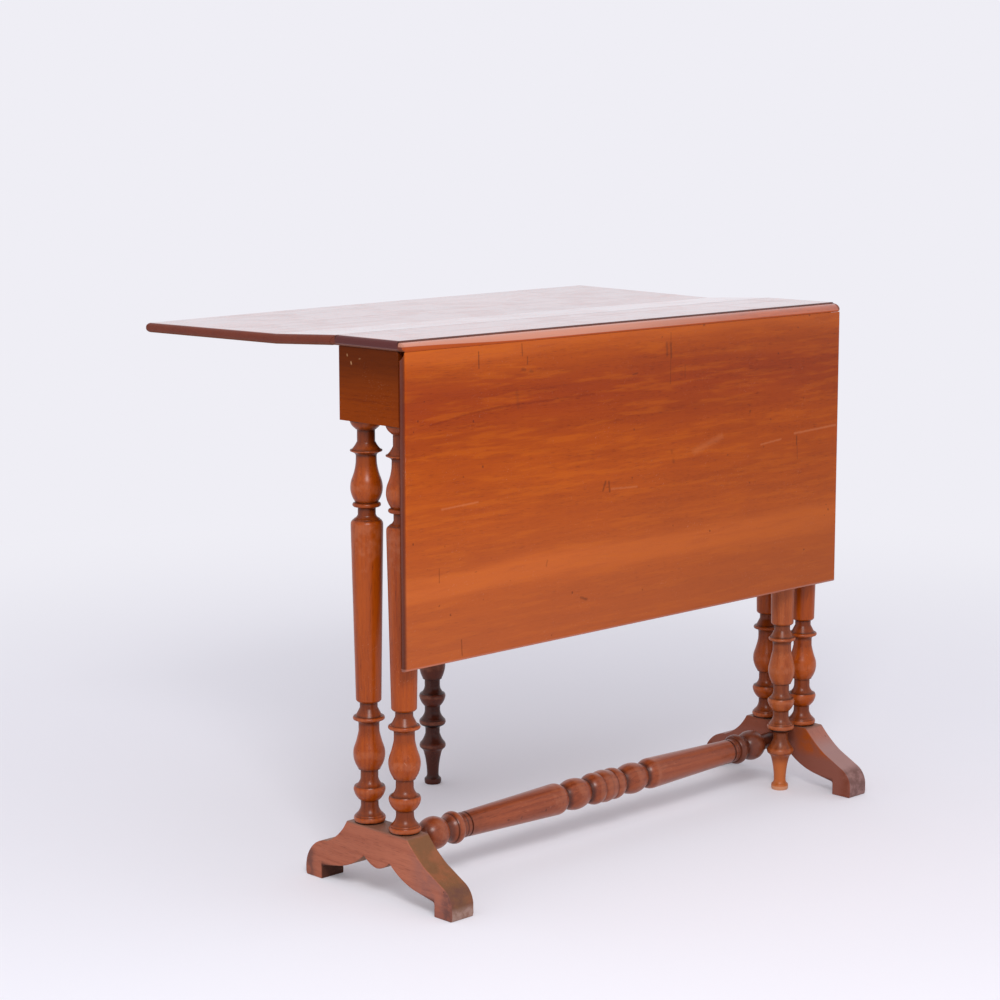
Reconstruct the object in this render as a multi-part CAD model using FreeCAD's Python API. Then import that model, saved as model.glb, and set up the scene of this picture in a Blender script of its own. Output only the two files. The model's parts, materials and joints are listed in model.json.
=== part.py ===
import FreeCAD, Part
import math
import os

# A narrow drop-leaf table on two trestles, with a turned leg on a swinging rail under each leaf.
# Frame: X along the top, Y across it towards the raised leaf, Z up. The origin is on the floor, under the
# middle of the fixed centre board. Everything on the front side is the rear side turned half round about Z.

# The top, in millimetres
top_length = 841.0
top_height = 710.0
board_thickness = 13.0
centre_width = 114.0  # between the two square fillets of the rule joints
leaf_width = 393.0  # from the hinge pin to the outer edge
fillet_depth = 2.0
nosing_radius = 5.5
joint_gap = 0.4
inner_board_width = 121.0  # the raised leaf is glued up from two boards
droop_angle = 3.0  # how far the raised leaf's inner board hangs below level
cup_angle = 3.4  # how far its outer board turns up from the inner one

# Back-flap hinges
hinge_end_distance = 115.0
hinge_width = 50.0
hinge_knuckle_count = 3
fixed_flap_length = 28.0
leaf_flap_length = 56.0
flap_thickness = 1.6
barrel_radius = 3.0
hinge_pin_radius = 1.5
knuckle_gap = 0.3
pin_clearance = 0.05
moving_clearance = 0.4
flap_screw_inset = 8.0
flap_screw_length = 9.0
flap_screw_head_radius = 2.9
flap_screw_radius = 1.4
screw_slot_width = 0.8
screw_slot_depth = 0.7
screw_clearance = 0.1

# The frame under the top
frame_depth = 92.5
end_block_inset = 4.0
end_block_thickness = 46.0
end_block_width = 110.0
centre_rail_thickness = 30.0
rail_tenon_thickness = 12.0
rail_tenon_length = 14.0
rail_tenon_shoulder = 10.0
fit_clearance = 0.1

# The swinging rails and their wooden knuckle joints
fly_rail_thickness = 20.0
fly_rail_gap = 0.5
pivot_offset = 24.0  # from mid-length
knuckle_count = 5
knuckle_shoulder = 1.5
knuckle_play = 0.4
gate_pin_radius = 3.0
gate_open_angle = 93.2
gate_leaf_gap = 0.3
swing_block_size = 36.0
swing_line = 34.0  # from the centre line to a closed leg's axis
swing_end_gap = 8.4
fly_tenon_thickness = 9.0
fly_tenon_length = 24.0
fly_tenon_shoulder = 12.0
peg_radius = 3.5
peg_edge_distance = 26.0

# Wood screws in the frame
frame_screw_radius = 2.2
frame_screw_head_radius = 4.4
frame_screw_bite = 9.0
top_screw_length = 40.0
top_screw_spacing = 250.0
rail_screw_length = 32.0
rail_screw_end_distance = 60.0
rail_screw_edge_distance = 21.5
counterbore_radius = 5.5
counterbore_depth = 3.0

# Trestle feet
foot_inset = 9.0
foot_thickness = 37.5
foot_height = 88.8
foot_top_width = 113.2
foot_span = 278.6
instep_reach = 97.6
instep_height = 52.4
instep_middle_reach = 71.5
instep_middle_height = 66.5
toe_shoulder_reach = 127.0
toe_shoulder_height = 39.5
toe_front_height = 11.0
toe_length = 32.2
toe_back_height = 15.5
toe_back_round = 3.5
heel_reach = 72.0
heel_height = 25.0
arch_middle_reach = 49.0
arch_middle_height = 33.0
cusp_reach = 24.0
cusp_height = 49.8
pendant_height = 37.8

# Turned members shared by the columns and the swing legs
column_inset = 28.4
column_spacing = 67.0
column_radius = 20.4
swing_leg_radius = 19.4
neck_radius = 11.3
tenon_radius = 11.0
lower_tenon_length = 28.0
upper_tenon_length = 40.0
ring_lip = 1.4
base_ring_length = 10.2
base_cove_length = 13.0
torus_rise_length = 6.5
torus_foot_radius = 14.8
torus_length = 21.5
torus_cove_length = 9.0
lower_neck_length = 4.0
lower_belly_length = 38.0
shoulder_radius = 17.0
waist_radius = 13.2
waist_end_radius = 13.9
lower_waist_length = 26.5
collar_length = 8.5
collar_cone_length = 10.8
collar_neck_length = 6.5
taper_rise_length = 5.0
taper_foot_radius = 16.2
taper_round_length = 14.0
upper_neck_length = 8.0
disc_radius = 16.8
disc_length = 11.0
upper_belly_length = 30.0
upper_waist_length = 26.5
cap_neck_length = 9.5
cap_cove_length = 8.5
cap_ring_length = 7.5
cove_hollow = 0.24

# The foot of a swing leg
pad_radius = 12.4
pad_length = 9.0
ankle_radius = 8.5
ankle_cove_length = 6.0
calf_length = 33.0
calf_radius = 11.6
knee_rise_length = 6.5
knee_radius = 18.0
knee_ring_length = 7.5
knee_cone_length = 15.0
knee_neck_radius = 10.6
knee_neck_length = 7.0
knee_cove_length = 4.8

# The turned stretcher
stretcher_height = 64.0
stretcher_middle = 3.0  # how far its middle ring is to the right of mid-length
stretcher_tenon_radius = 10.0
stretcher_tenon_length = 25.0
stretcher_radius = 21.5
stretcher_groove_radius = 20.3
stretcher_neck_radius = 14.8
stretcher_thin_radius = 16.7
stretcher_end_neck_radius = 11.5
middle_ring_radius = 22.4
middle_ring_length = 24.0
middle_ring_shoulder_radius = 21.7
side_ring_length = 21.0
side_neck_length = 2.5
stretcher_ball_length = 43.0
taper_dome_length = 15.0
left_taper_length = 156.0
right_taper_length = 168.0
taper_groove_length = 2.0
taper_groove_depth = 1.6
left_cuff_length = 15.0
right_cuff_length = 11.0
left_end_ring_length = 28.0
right_end_ring_length = 21.0
end_ring_neck_length = 3.0
end_ball_length = 36.0

# Worked out from the sizes above
half_length = top_length / 2
underside = top_height - board_thickness
pin_line = centre_width / 2
ovolo_radius = board_thickness - fillet_depth
leaf_profile_start = ovolo_radius + joint_gap
frame_bottom = underside - frame_depth
block_inner_face = half_length - end_block_inset - end_block_thickness
block_middle = half_length - end_block_inset - end_block_thickness / 2
column_line = half_length - column_inset
foot_inner_face = half_length - foot_inset - foot_thickness
hinge_places = (-(half_length - hinge_end_distance), 0.0, half_length - hinge_end_distance)
droop = math.radians(droop_angle)
gate_top = underside - inner_board_width * math.sin(droop) - gate_leaf_gap
gate_depth = gate_top - frame_bottom
rail_middle = centre_rail_thickness / 2 + fly_rail_gap + fly_rail_thickness / 2
knuckle_radius = fly_rail_thickness / 2
shoulder_distance = knuckle_radius + knuckle_shoulder
swing_leg_place = block_inner_face - swing_end_gap - swing_block_size / 2
upper_group_length = (taper_round_length + upper_neck_length + disc_length + upper_belly_length
                      + upper_waist_length + collar_length + collar_cone_length + cap_neck_length
                      + cap_cove_length + cap_ring_length)

quarter_middle = math.sqrt(0.5)  # sine and cosine at the middle of a quarter circle

X_AXIS = FreeCAD.Vector(1, 0, 0)
Y_AXIS = FreeCAD.Vector(0, 1, 0)
Z_AXIS = FreeCAD.Vector(0, 0, 1)
ORIGIN = FreeCAD.Vector(0, 0, 0)


# Simple solids

def box(x_from, x_to, y_from, y_to, z_from, z_to):
    corner = FreeCAD.Vector(x_from, y_from, z_from)
    return Part.makeBox(x_to - x_from, y_to - y_from, z_to - z_from, corner)


def rod(radius, start, direction, length):
    return Part.makeCylinder(radius, length, start, direction)


def line(start, end):
    return Part.LineSegment(start, end).toShape()


def arc(start, middle, end):
    return Part.Arc(start, middle, end).toShape()


def across(y, z):
    """A point of an outline that is seen along the table."""
    return FreeCAD.Vector(0, y, z)


def along(x, z):
    """A point of an outline that is seen across the table."""
    return FreeCAD.Vector(x, 0, z)


def prism(edges, start, travel):
    """The closed outline, moved to its start and extruded by travel."""
    face = Part.Face(Part.Wire(edges))
    face.translate(start)
    return face.extrude(travel)


def moved(shape, x=0.0, y=0.0, z=0.0):
    copy = shape.copy()
    copy.translate(FreeCAD.Vector(x, y, z))
    return copy


def turned(shape, about, axis, angle):
    copy = shape.copy()
    copy.rotate(about, axis, angle)
    return copy


def to_front(shape):
    """The rear side's piece, turned half round to the front side."""
    return turned(shape, ORIGIN, Z_AXIS, 180)


def mirrored_end(shape):
    """The left end's piece, mirrored to the right end."""
    return shape.mirror(ORIGIN, X_AXIS)


def group(solids):
    return Part.makeCompound(solids)


# Lathe work

class Turning:
    """The outline of a turned piece, cut member by member along its axis from one end to the other."""

    def __init__(self, radius):
        self.height = 0.0
        self.radius = radius
        self.edges = [line(along(0, 0), along(radius, 0))]

    def straight(self, length, radius):
        start = along(self.radius, self.height)
        self.height += length
        self.radius = radius
        self.edges.append(line(start, along(self.radius, self.height)))

    def step(self, radius):
        self.straight(0.0, radius)

    def curve(self, length, radius, middle):
        """An arc through a middle radius at half its length."""
        start = along(self.radius, self.height)
        half_way = along(middle, self.height + length / 2)
        self.height += length
        self.radius = radius
        self.edges.append(arc(start, half_way, along(self.radius, self.height)))

    def bead(self, length, peak, radius):
        self.curve(length, radius, peak)

    def cove(self, length, radius):
        """A hollow between two radii."""
        hollow = abs(self.radius - radius) * cove_hollow
        self.curve(length, radius, (self.radius + radius) / 2 - hollow)

    def tenon(self, length, radius):
        self.step(radius)
        self.straight(length, radius)

    def solid(self):
        top = along(self.radius, self.height)
        middle = along(0, self.height)
        outline = self.edges + [line(top, middle), line(middle, along(0, 0))]
        return Part.Face(Part.Wire(outline)).revolve(ORIGIN, Z_AXIS, 360)


def cut_collar(turning, girth):
    """A ring with a square lip below and a cone above, then its neck."""
    lip = girth - ring_lip
    turning.step(lip)
    turning.bead(collar_length, girth, lip)
    turning.straight(collar_cone_length, neck_radius)


def cut_lower_members(turning, girth):
    """From the cove over the base ring up to the foot of the long taper."""
    turning.cove(base_cove_length, neck_radius)
    turning.cove(torus_rise_length, torus_foot_radius)
    turning.bead(torus_length, girth, torus_foot_radius)
    turning.cove(torus_cove_length, neck_radius)
    turning.straight(lower_neck_length, neck_radius)
    turning.bead(lower_belly_length, girth, shoulder_radius)
    turning.curve(lower_waist_length, waist_end_radius, waist_radius)
    cut_collar(turning, girth)
    turning.straight(collar_neck_length, neck_radius)
    turning.cove(taper_rise_length, taper_foot_radius)


def cut_upper_members(turning, girth):
    """From the rounded head of the long taper up to the cap ring under the frame."""
    turning.curve(taper_round_length, neck_radius, (girth + shoulder_radius) / 2)
    turning.straight(upper_neck_length, neck_radius)
    turning.bead(disc_length, disc_radius, torus_foot_radius)
    turning.bead(upper_belly_length, girth, shoulder_radius)
    turning.curve(upper_waist_length, waist_end_radius, waist_radius)
    cut_collar(turning, girth)
    turning.straight(cap_neck_length, neck_radius)
    turning.cove(cap_cove_length, girth - ring_lip)
    turning.bead(cap_ring_length, girth, girth - ring_lip)


def column():
    """One of the four turned columns, standing on the origin of its own tenon."""
    turning = Turning(tenon_radius)
    turning.straight(lower_tenon_length, tenon_radius)
    turning.step(column_radius - ring_lip)
    turning.bead(base_ring_length, column_radius, column_radius - ring_lip)
    cut_lower_members(turning, column_radius)
    shaft_height = frame_bottom - foot_height + lower_tenon_length
    turning.straight(shaft_height - upper_group_length - turning.height, column_radius)
    cut_upper_members(turning, column_radius)
    turning.tenon(upper_tenon_length, tenon_radius)
    return turning.solid()


def swing_leg_shaft():
    """The turned part of a swing leg, from the floor to its square block."""
    turning = Turning(pad_radius - ring_lip)
    turning.bead(pad_length, pad_radius, pad_radius - ring_lip)
    turning.cove(ankle_cove_length, ankle_radius)
    turning.straight(calf_length, calf_radius)
    turning.cove(knee_rise_length, knee_radius)
    turning.bead(knee_ring_length, swing_leg_radius, knee_radius)
    turning.straight(knee_cone_length, knee_neck_radius)
    turning.straight(knee_neck_length, knee_neck_radius)
    turning.cove(knee_cove_length, swing_leg_radius - ring_lip)
    turning.bead(base_ring_length, swing_leg_radius, swing_leg_radius - ring_lip)
    cut_lower_members(turning, swing_leg_radius)
    turning.straight(frame_bottom - upper_group_length - turning.height, swing_leg_radius)
    cut_upper_members(turning, swing_leg_radius)
    return turning.solid()


def half_stretcher(length, taper_length, cuff_length, end_ring_length):
    """The stretcher from its middle to one tenon, and as long as given up to the foot."""
    turning = Turning(middle_ring_radius)
    turning.curve(middle_ring_length / 2, stretcher_groove_radius, middle_ring_shoulder_radius)
    turning.bead(side_ring_length, stretcher_radius, stretcher_neck_radius)
    turning.straight(side_neck_length, stretcher_neck_radius)
    turning.bead(stretcher_ball_length, stretcher_radius, stretcher_neck_radius)
    turning.straight(side_neck_length, stretcher_neck_radius)
    turning.curve(taper_dome_length, stretcher_radius, stretcher_groove_radius)
    turning.straight(taper_length, stretcher_thin_radius)
    groove_radius = stretcher_thin_radius - taper_groove_depth
    turning.step(groove_radius)
    turning.straight(taper_groove_length, groove_radius)
    turning.step(stretcher_thin_radius)
    turning.straight(cuff_length, stretcher_thin_radius)
    turning.bead(end_ring_length, stretcher_radius, stretcher_neck_radius)
    turning.straight(end_ring_neck_length, stretcher_neck_radius)
    turning.bead(end_ball_length, stretcher_radius, stretcher_end_neck_radius)
    turning.straight(length - turning.height, stretcher_end_neck_radius)
    turning.tenon(stretcher_tenon_length, stretcher_tenon_radius)
    return turned(turning.solid(), ORIGIN, Y_AXIS, 90)


def stretcher():
    right = half_stretcher(foot_inner_face - stretcher_middle, right_taper_length, right_cuff_length,
                           right_end_ring_length)
    left = half_stretcher(foot_inner_face + stretcher_middle, left_taper_length, left_cuff_length,
                          left_end_ring_length)
    whole = right.fuse(turned(left, ORIGIN, Z_AXIS, 180))
    return moved(whole, x=stretcher_middle, z=stretcher_height)


# Screws: each lies along Z with its head at the origin and its point up

def wood_screw(length, radius, head_radius, room=0.0):
    """A countersunk screw, or with some room round it the hole that it fills."""
    head_height = head_radius - radius
    head = Part.makeCone(head_radius + room, radius + room, head_height)
    shank = rod(radius + room, ORIGIN, Z_AXIS, length + room)
    screw = head.fuse(shank)
    if room:
        return screw
    slot = box(-head_radius, head_radius, -screw_slot_width / 2, screw_slot_width / 2,
               -screw_slot_depth, screw_slot_depth)
    return screw.cut(slot)


def flap_screw(room=0.0):
    return wood_screw(flap_screw_length, flap_screw_radius, flap_screw_head_radius, room)


def frame_screw(length, room=0.0):
    return wood_screw(length, frame_screw_radius, frame_screw_head_radius, room)


# The rule joint. These solids lie in the joint's own frame: the hinge pin runs along X through the origin,
# Y points out along the leaf and Z is up through the boards' thickness.

def rounded_slab(depth, y_from, y_to):
    """The space between the two rounded ends of the top, for boards of any outline to be cut to."""
    side = half_length
    low = nosing_radius
    high = depth - nosing_radius
    bend = nosing_radius * (1 - quarter_middle)
    edges = [
        line(along(-side + nosing_radius, 0), along(side - nosing_radius, 0)),
        arc(along(side - nosing_radius, 0), along(side - bend, bend), along(side, low)),
        line(along(side, low), along(side, high)),
        arc(along(side, high), along(side - bend, depth - bend), along(side - nosing_radius, depth)),
        line(along(side - nosing_radius, depth), along(-side + nosing_radius, depth)),
        arc(along(-side + nosing_radius, depth), along(-side + bend, depth - bend), along(-side, high)),
        line(along(-side, high), along(-side, low)),
        arc(along(-side, low), along(-side + bend, bend), along(-side + nosing_radius, 0)),
    ]
    return prism(edges, FreeCAD.Vector(0, y_from, 0), FreeCAD.Vector(0, y_to - y_from, 0))


def board_from(edges, reach):
    """A board of the given cross-section, as long as the top, with rounded ends."""
    blank = prism(edges, FreeCAD.Vector(-half_length, 0, 0), FreeCAD.Vector(top_length, 0, 0))
    past = reach + board_thickness
    return blank.common(rounded_slab(board_thickness, -past, past))


def cove_edges():
    """The leaf's hollow edge, from the underside up to its square lip at the top."""
    radius = leaf_profile_start
    lip = math.sqrt(radius ** 2 - joint_gap ** 2)
    foot = across(radius, 0)
    middle = across(radius * quarter_middle, radius * quarter_middle)
    top_of_cove = across(joint_gap, lip)
    return [arc(foot, middle, top_of_cove), line(top_of_cove, across(joint_gap, board_thickness))]


def outer_edge(width):
    """The rounded outer edge, from the top down to the underside."""
    high = board_thickness - nosing_radius
    bend = nosing_radius * (1 - quarter_middle)
    return [
        arc(across(width - nosing_radius, board_thickness),
            across(width - bend, board_thickness - bend), across(width, high)),
        line(across(width, high), across(width, nosing_radius)),
        arc(across(width, nosing_radius), across(width - bend, bend), across(width - nosing_radius, 0)),
    ]


def single_leaf():
    edges = cove_edges()
    edges.append(line(across(joint_gap, board_thickness),
                      across(leaf_width - nosing_radius, board_thickness)))
    edges += outer_edge(leaf_width)
    edges.append(line(across(leaf_width - nosing_radius, 0), across(leaf_profile_start, 0)))
    return board_from(edges, leaf_width)


def mitre_shift():
    """How far the glue line of the cupped leaf leans over the thickness."""
    return board_thickness * math.tan(math.radians(cup_angle) / 2)


def cupped_inner_board():
    top_end = across(inner_board_width - mitre_shift(), board_thickness)
    low_end = across(inner_board_width, 0)
    edges = cove_edges()
    edges += [line(across(joint_gap, board_thickness), top_end), line(top_end, low_end)]
    edges.append(line(low_end, across(leaf_profile_start, 0)))
    return board_from(edges, leaf_width)


def cupped_outer_board():
    width = leaf_width - inner_board_width
    top_start = across(mitre_shift(), board_thickness)
    edges = [line(across(0, 0), top_start)]
    edges.append(line(top_start, across(width - nosing_radius, board_thickness)))
    edges += outer_edge(width)
    edges.append(line(across(width - nosing_radius, 0), across(0, 0)))
    board = board_from(edges, leaf_width)
    return moved(turned(board, ORIGIN, X_AXIS, cup_angle), y=inner_board_width)


def ovolo_edges():
    """Half of the centre board's outline: its quarter-round edge and the square fillet above it."""
    radius = ovolo_radius
    foot = across(pin_line + radius, 0)
    middle = across(pin_line + radius * quarter_middle, radius * quarter_middle)
    head = across(pin_line, radius)
    return [arc(foot, middle, head), line(head, across(pin_line, board_thickness))]


def flipped(edges):
    """The same edges on the other side of the centre line."""
    return [edge.mirror(ORIGIN, Y_AXIS) for edge in edges]


def centre_board():
    reach = pin_line + ovolo_radius
    edges = ovolo_edges() + flipped(ovolo_edges())
    edges.append(line(across(-pin_line, board_thickness), across(pin_line, board_thickness)))
    edges.append(line(across(-reach, 0), across(reach, 0)))
    board = board_from(Part.__sortEdges__(edges), reach)
    recesses = hinge_recesses_in_centre()
    board = board.cut([moved(recesses, y=pin_line), to_front(moved(recesses, y=pin_line))])
    return moved(board, z=underside)


# Hinges, also in the joint's own frame

def knuckle_length():
    return hinge_width / hinge_knuckle_count


def knuckle(place, radius):
    """One of a hinge's three knuckles, as long as its share of the width less the gaps."""
    length = knuckle_length() - knuckle_gap
    start = FreeCAD.Vector(place - length / 2, 0, 0)
    return rod(radius, start, X_AXIS, length)


def knuckle_places(hinge):
    return (hinge - knuckle_length(), hinge, hinge + knuckle_length())


def flap(hinge, y_from, y_to, own, other):
    """A flap with its own knuckles, cut away round the other flap's knuckles and bored for the pin."""
    plate = box(hinge - hinge_width / 2, hinge + hinge_width / 2, y_from, y_to, -flap_thickness, 0)
    clearance = []
    for place in other:
        start = FreeCAD.Vector(place - knuckle_length() / 2 - knuckle_gap / 2, 0, 0)
        clearance.append(rod(barrel_radius + moving_clearance, start, X_AXIS,
                             knuckle_length() + knuckle_gap))
    plate = plate.cut(clearance)
    leaf = plate.fuse([knuckle(place, barrel_radius) for place in own])
    bore = FreeCAD.Vector(hinge - hinge_width, 0, 0)
    return leaf.cut(rod(hinge_pin_radius + pin_clearance, bore, X_AXIS, 2 * hinge_width))


def fixed_screw_places(hinge):
    reach = hinge_width / 2 - flap_screw_inset
    y = -(fixed_flap_length - flap_screw_inset)
    return [(hinge - reach, y), (hinge + reach, y)]


def leaf_screw_places(hinge):
    reach = hinge_width / 2 - flap_screw_inset
    y = leaf_flap_length - flap_screw_inset
    return [(hinge - reach, y), (hinge + reach, y), (hinge, leaf_profile_start + flap_screw_inset)]


def screws_at(places, room=0.0):
    return [moved(flap_screw(room), x=x, y=y, z=-flap_thickness) for x, y in places]


def fixed_flaps():
    flaps = []
    for hinge in hinge_places:
        left, middle, right = knuckle_places(hinge)
        plate = flap(hinge, -fixed_flap_length, 0, (left, right), (middle,))
        flaps.append(plate.cut(screws_at(fixed_screw_places(hinge), screw_clearance)))
    return group(flaps)


def leaf_flaps():
    flaps = []
    for hinge in hinge_places:
        left, middle, right = knuckle_places(hinge)
        plate = flap(hinge, 0, leaf_flap_length, (middle,), (left, right))
        flaps.append(plate.cut(screws_at(leaf_screw_places(hinge), screw_clearance)))
    return group(flaps)


def hinge_pins():
    pins = []
    for hinge in hinge_places:
        start = FreeCAD.Vector(hinge - hinge_width / 2, 0, 0)
        pins.append(rod(hinge_pin_radius, start, X_AXIS, hinge_width))
    return group(pins)


def flap_screws(places):
    return group([screw for hinge in hinge_places for screw in screws_at(places(hinge))])


def hinge_recesses_in_centre():
    """What is cut out of the centre board for the barrels and the screws on one side."""
    cuts = []
    for hinge in hinge_places:
        half = hinge_width / 2 + moving_clearance
        groove = FreeCAD.Vector(hinge - half, 0, 0)
        cuts.append(rod(barrel_radius + moving_clearance, groove, X_AXIS, 2 * half))
        cuts += screws_at(fixed_screw_places(hinge), screw_clearance)
    return cuts[0].fuse(cuts[1:])


def screw_holes_in_leaf():
    cuts = []
    for hinge in hinge_places:
        cuts += screws_at(leaf_screw_places(hinge), screw_clearance)
    return cuts


def raise_leaf(shape):
    """From the joint's frame to the rear side of the table, with the leaf raised."""
    drooped = turned(shape, ORIGIN, X_AXIS, -droop_angle)
    return moved(drooped, y=pin_line, z=underside)


def hang_leaf(shape):
    """From the joint's frame to the front side of the table, with the leaf hanging."""
    hanging = turned(shape, ORIGIN, X_AXIS, -90)
    return to_front(moved(hanging, y=pin_line, z=underside))


def fix_rear(shape):
    return moved(shape, y=pin_line, z=underside)


def fix_front(shape):
    return to_front(fix_rear(shape))


# The frame under the centre board

def rail_tenon(room=0.0):
    """The stub tenon on the right end of the centre rail, or its mortise with some room round it."""
    half = rail_tenon_thickness / 2 + room
    return box(block_inner_face - room, block_inner_face + rail_tenon_length + room, -half, half,
               frame_bottom + rail_tenon_shoulder - room, underside - rail_tenon_shoulder + room)


def top_screw_places():
    return (-block_middle, -top_screw_spacing, 0.0, top_screw_spacing, block_middle)


def top_screws(places, room=0.0):
    """Long screws that pull the centre board down on the frame, sunk from below."""
    head = underside + frame_screw_bite - top_screw_length
    return [moved(frame_screw(top_screw_length, room), x=x, z=head) for x in places]


def top_screw_wells(places):
    head = underside + frame_screw_bite - top_screw_length
    depth = head - frame_bottom
    return [rod(counterbore_radius, FreeCAD.Vector(x, 0, frame_bottom), Z_AXIS, depth) for x in places]


def column_tenon_hole(y, z_from, length):
    start = FreeCAD.Vector(-column_line, y, z_from)
    return rod(tenon_radius + fit_clearance, start, Z_AXIS, length + fit_clearance)


def left_end_block():
    block = box(-half_length + end_block_inset, -block_inner_face, -end_block_width / 2,
                end_block_width / 2, frame_bottom, underside)
    cuts = [column_tenon_hole(y, frame_bottom, upper_tenon_length)
            for y in (-column_spacing / 2, column_spacing / 2)]
    cuts.append(mirrored_end(rail_tenon(fit_clearance)))
    cuts += top_screws((-block_middle,), screw_clearance)
    cuts += top_screw_wells((-block_middle,))
    return block.cut(cuts)


def rail_screw_spots():
    """Where the screws of the rear fixed rail are, along it and in height."""
    first = rail_screw_end_distance - pivot_offset
    last = block_inner_face - rail_screw_end_distance
    heights = (frame_bottom + rail_screw_edge_distance, gate_top - rail_screw_edge_distance)
    return [(x, z) for x in (first, (first + last) / 2, last) for z in heights]


def rail_screws(room=0.0):
    """Screws through the rear fixed rail into the centre rail, heads sunk in its outer face."""
    face = rail_middle + knuckle_radius - counterbore_depth
    screw = turned(frame_screw(rail_screw_length, room), ORIGIN, X_AXIS, 90)
    return [moved(screw, x=x, y=face, z=z) for x, z in rail_screw_spots()]


def rail_screw_wells():
    face = rail_middle + knuckle_radius
    return [rod(counterbore_radius, FreeCAD.Vector(x, face, z), -Y_AXIS, counterbore_depth)
            for x, z in rail_screw_spots()]


def centre_rail():
    rail = box(-block_inner_face, block_inner_face, -centre_rail_thickness / 2,
               centre_rail_thickness / 2, frame_bottom, underside)
    rail = rail.fuse([rail_tenon(), mirrored_end(rail_tenon())])
    places = top_screw_places()[1:-1]
    cuts = top_screws(places, screw_clearance) + top_screw_wells(places)
    for screw in rail_screws(screw_clearance):
        cuts += [screw, to_front(screw)]
    return rail.cut(cuts)


def centre_board_with_screw_holes():
    return centre_board().cut(top_screws(top_screw_places(), screw_clearance))


# The knuckle joints and swinging rails, drawn for the rear side with the leg closed

def finger_height():
    return gate_depth / knuckle_count


def finger_floor(number):
    return frame_bottom + number * finger_height()


def fingers(first):
    """The barrels of every second knuckle about the rear pivot, the lowest of all being number 0."""
    barrels = []
    for number in range(first, knuckle_count, 2):
        start = FreeCAD.Vector(-pivot_offset, rail_middle, finger_floor(number))
        barrels.append(rod(knuckle_radius, start, Z_AXIS, finger_height()))
    return barrels


def finger_slots(first):
    """The square gaps that one rail leaves for the other rail's knuckles."""
    slots = []
    for number in range(first, knuckle_count, 2):
        low = finger_floor(number) - knuckle_play / 2
        high = finger_floor(number + 1) + knuckle_play / 2
        slots.append(box(-pivot_offset - shoulder_distance, -pivot_offset + shoulder_distance,
                         rail_middle - fly_rail_thickness, rail_middle + fly_rail_thickness, low, high))
    return slots


def gate_pin_hole():
    start = FreeCAD.Vector(-pivot_offset, rail_middle, frame_bottom)
    return rod(gate_pin_radius + pin_clearance, start, Z_AXIS, gate_depth)


def rear_gate_pin():
    start = FreeCAD.Vector(-pivot_offset, rail_middle, frame_bottom)
    return rod(gate_pin_radius, start, Z_AXIS, gate_depth)


def rear_fixed_rail():
    """The half of the rear knuckle joint that is screwed to the centre rail. It keeps the lowest,
    middle and top knuckles."""
    low_face = centre_rail_thickness / 2
    rail = box(-pivot_offset, block_inner_face, low_face, rail_middle + knuckle_radius,
               frame_bottom, gate_top)
    rail = rail.fuse(fingers(0))
    rail = rail.cut(finger_slots(1))
    rail = rail.cut(rail_screws(screw_clearance) + rail_screw_wells())
    return rail.cut(gate_pin_hole())


def fly_tenon(room=0.0):
    half = fly_tenon_thickness / 2 + room
    face = -swing_leg_place + swing_block_size / 2
    return box(face - fly_tenon_length - room, face, rail_middle - half, rail_middle + half,
               frame_bottom + fly_tenon_shoulder - room, gate_top - fly_tenon_shoulder + room)


def pegs(room=0.0):
    """Two pegs across each tenon of a swinging rail."""
    x = -swing_leg_place + swing_block_size / 2 - fly_tenon_length / 2
    solids = []
    for height in (frame_bottom + peg_edge_distance, gate_top - peg_edge_distance):
        start = FreeCAD.Vector(x, swing_line - swing_block_size / 2 - room, height)
        solids.append(rod(peg_radius + room, start, Y_AXIS, swing_block_size + 2 * room))
    return solids


def closed_fly_rail():
    """The rear swinging rail with the knuckles between those."""
    face = -swing_leg_place + swing_block_size / 2
    rail = box(face, -pivot_offset, rail_middle - knuckle_radius, rail_middle + knuckle_radius,
               frame_bottom, gate_top)
    rail = rail.fuse(fingers(1) + [fly_tenon()])
    rail = rail.cut(finger_slots(0))
    return rail.cut([gate_pin_hole()] + pegs(fit_clearance))


def closed_swing_leg():
    half = swing_block_size / 2
    block = box(-swing_leg_place - half, -swing_leg_place + half, swing_line - half,
                swing_line + half, frame_bottom, gate_top)
    shaft = moved(swing_leg_shaft(), x=-swing_leg_place, y=swing_line)
    leg = block.fuse(shaft)
    return leg.cut([fly_tenon(fit_clearance)] + pegs(fit_clearance))


def open_gate(shape):
    """The rear gate swung out under the raised leaf."""
    pivot = FreeCAD.Vector(-pivot_offset, rail_middle, 0)
    return turned(shape, pivot, Z_AXIS, -gate_open_angle)


# The trestles

def upper_foot_edges():
    """From the middle of the flat top to the front of the toe."""
    half_top = foot_top_width / 2
    half_span = foot_span / 2
    return [
        line(across(0, foot_height), across(half_top, foot_height)),
        arc(across(half_top, foot_height), across(instep_middle_reach, instep_middle_height),
            across(instep_reach, instep_height)),
        arc(across(instep_reach, instep_height), across(toe_shoulder_reach, toe_shoulder_height),
            across(half_span, toe_front_height)),
        line(across(half_span, toe_front_height), across(half_span, 0)),
    ]


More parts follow.
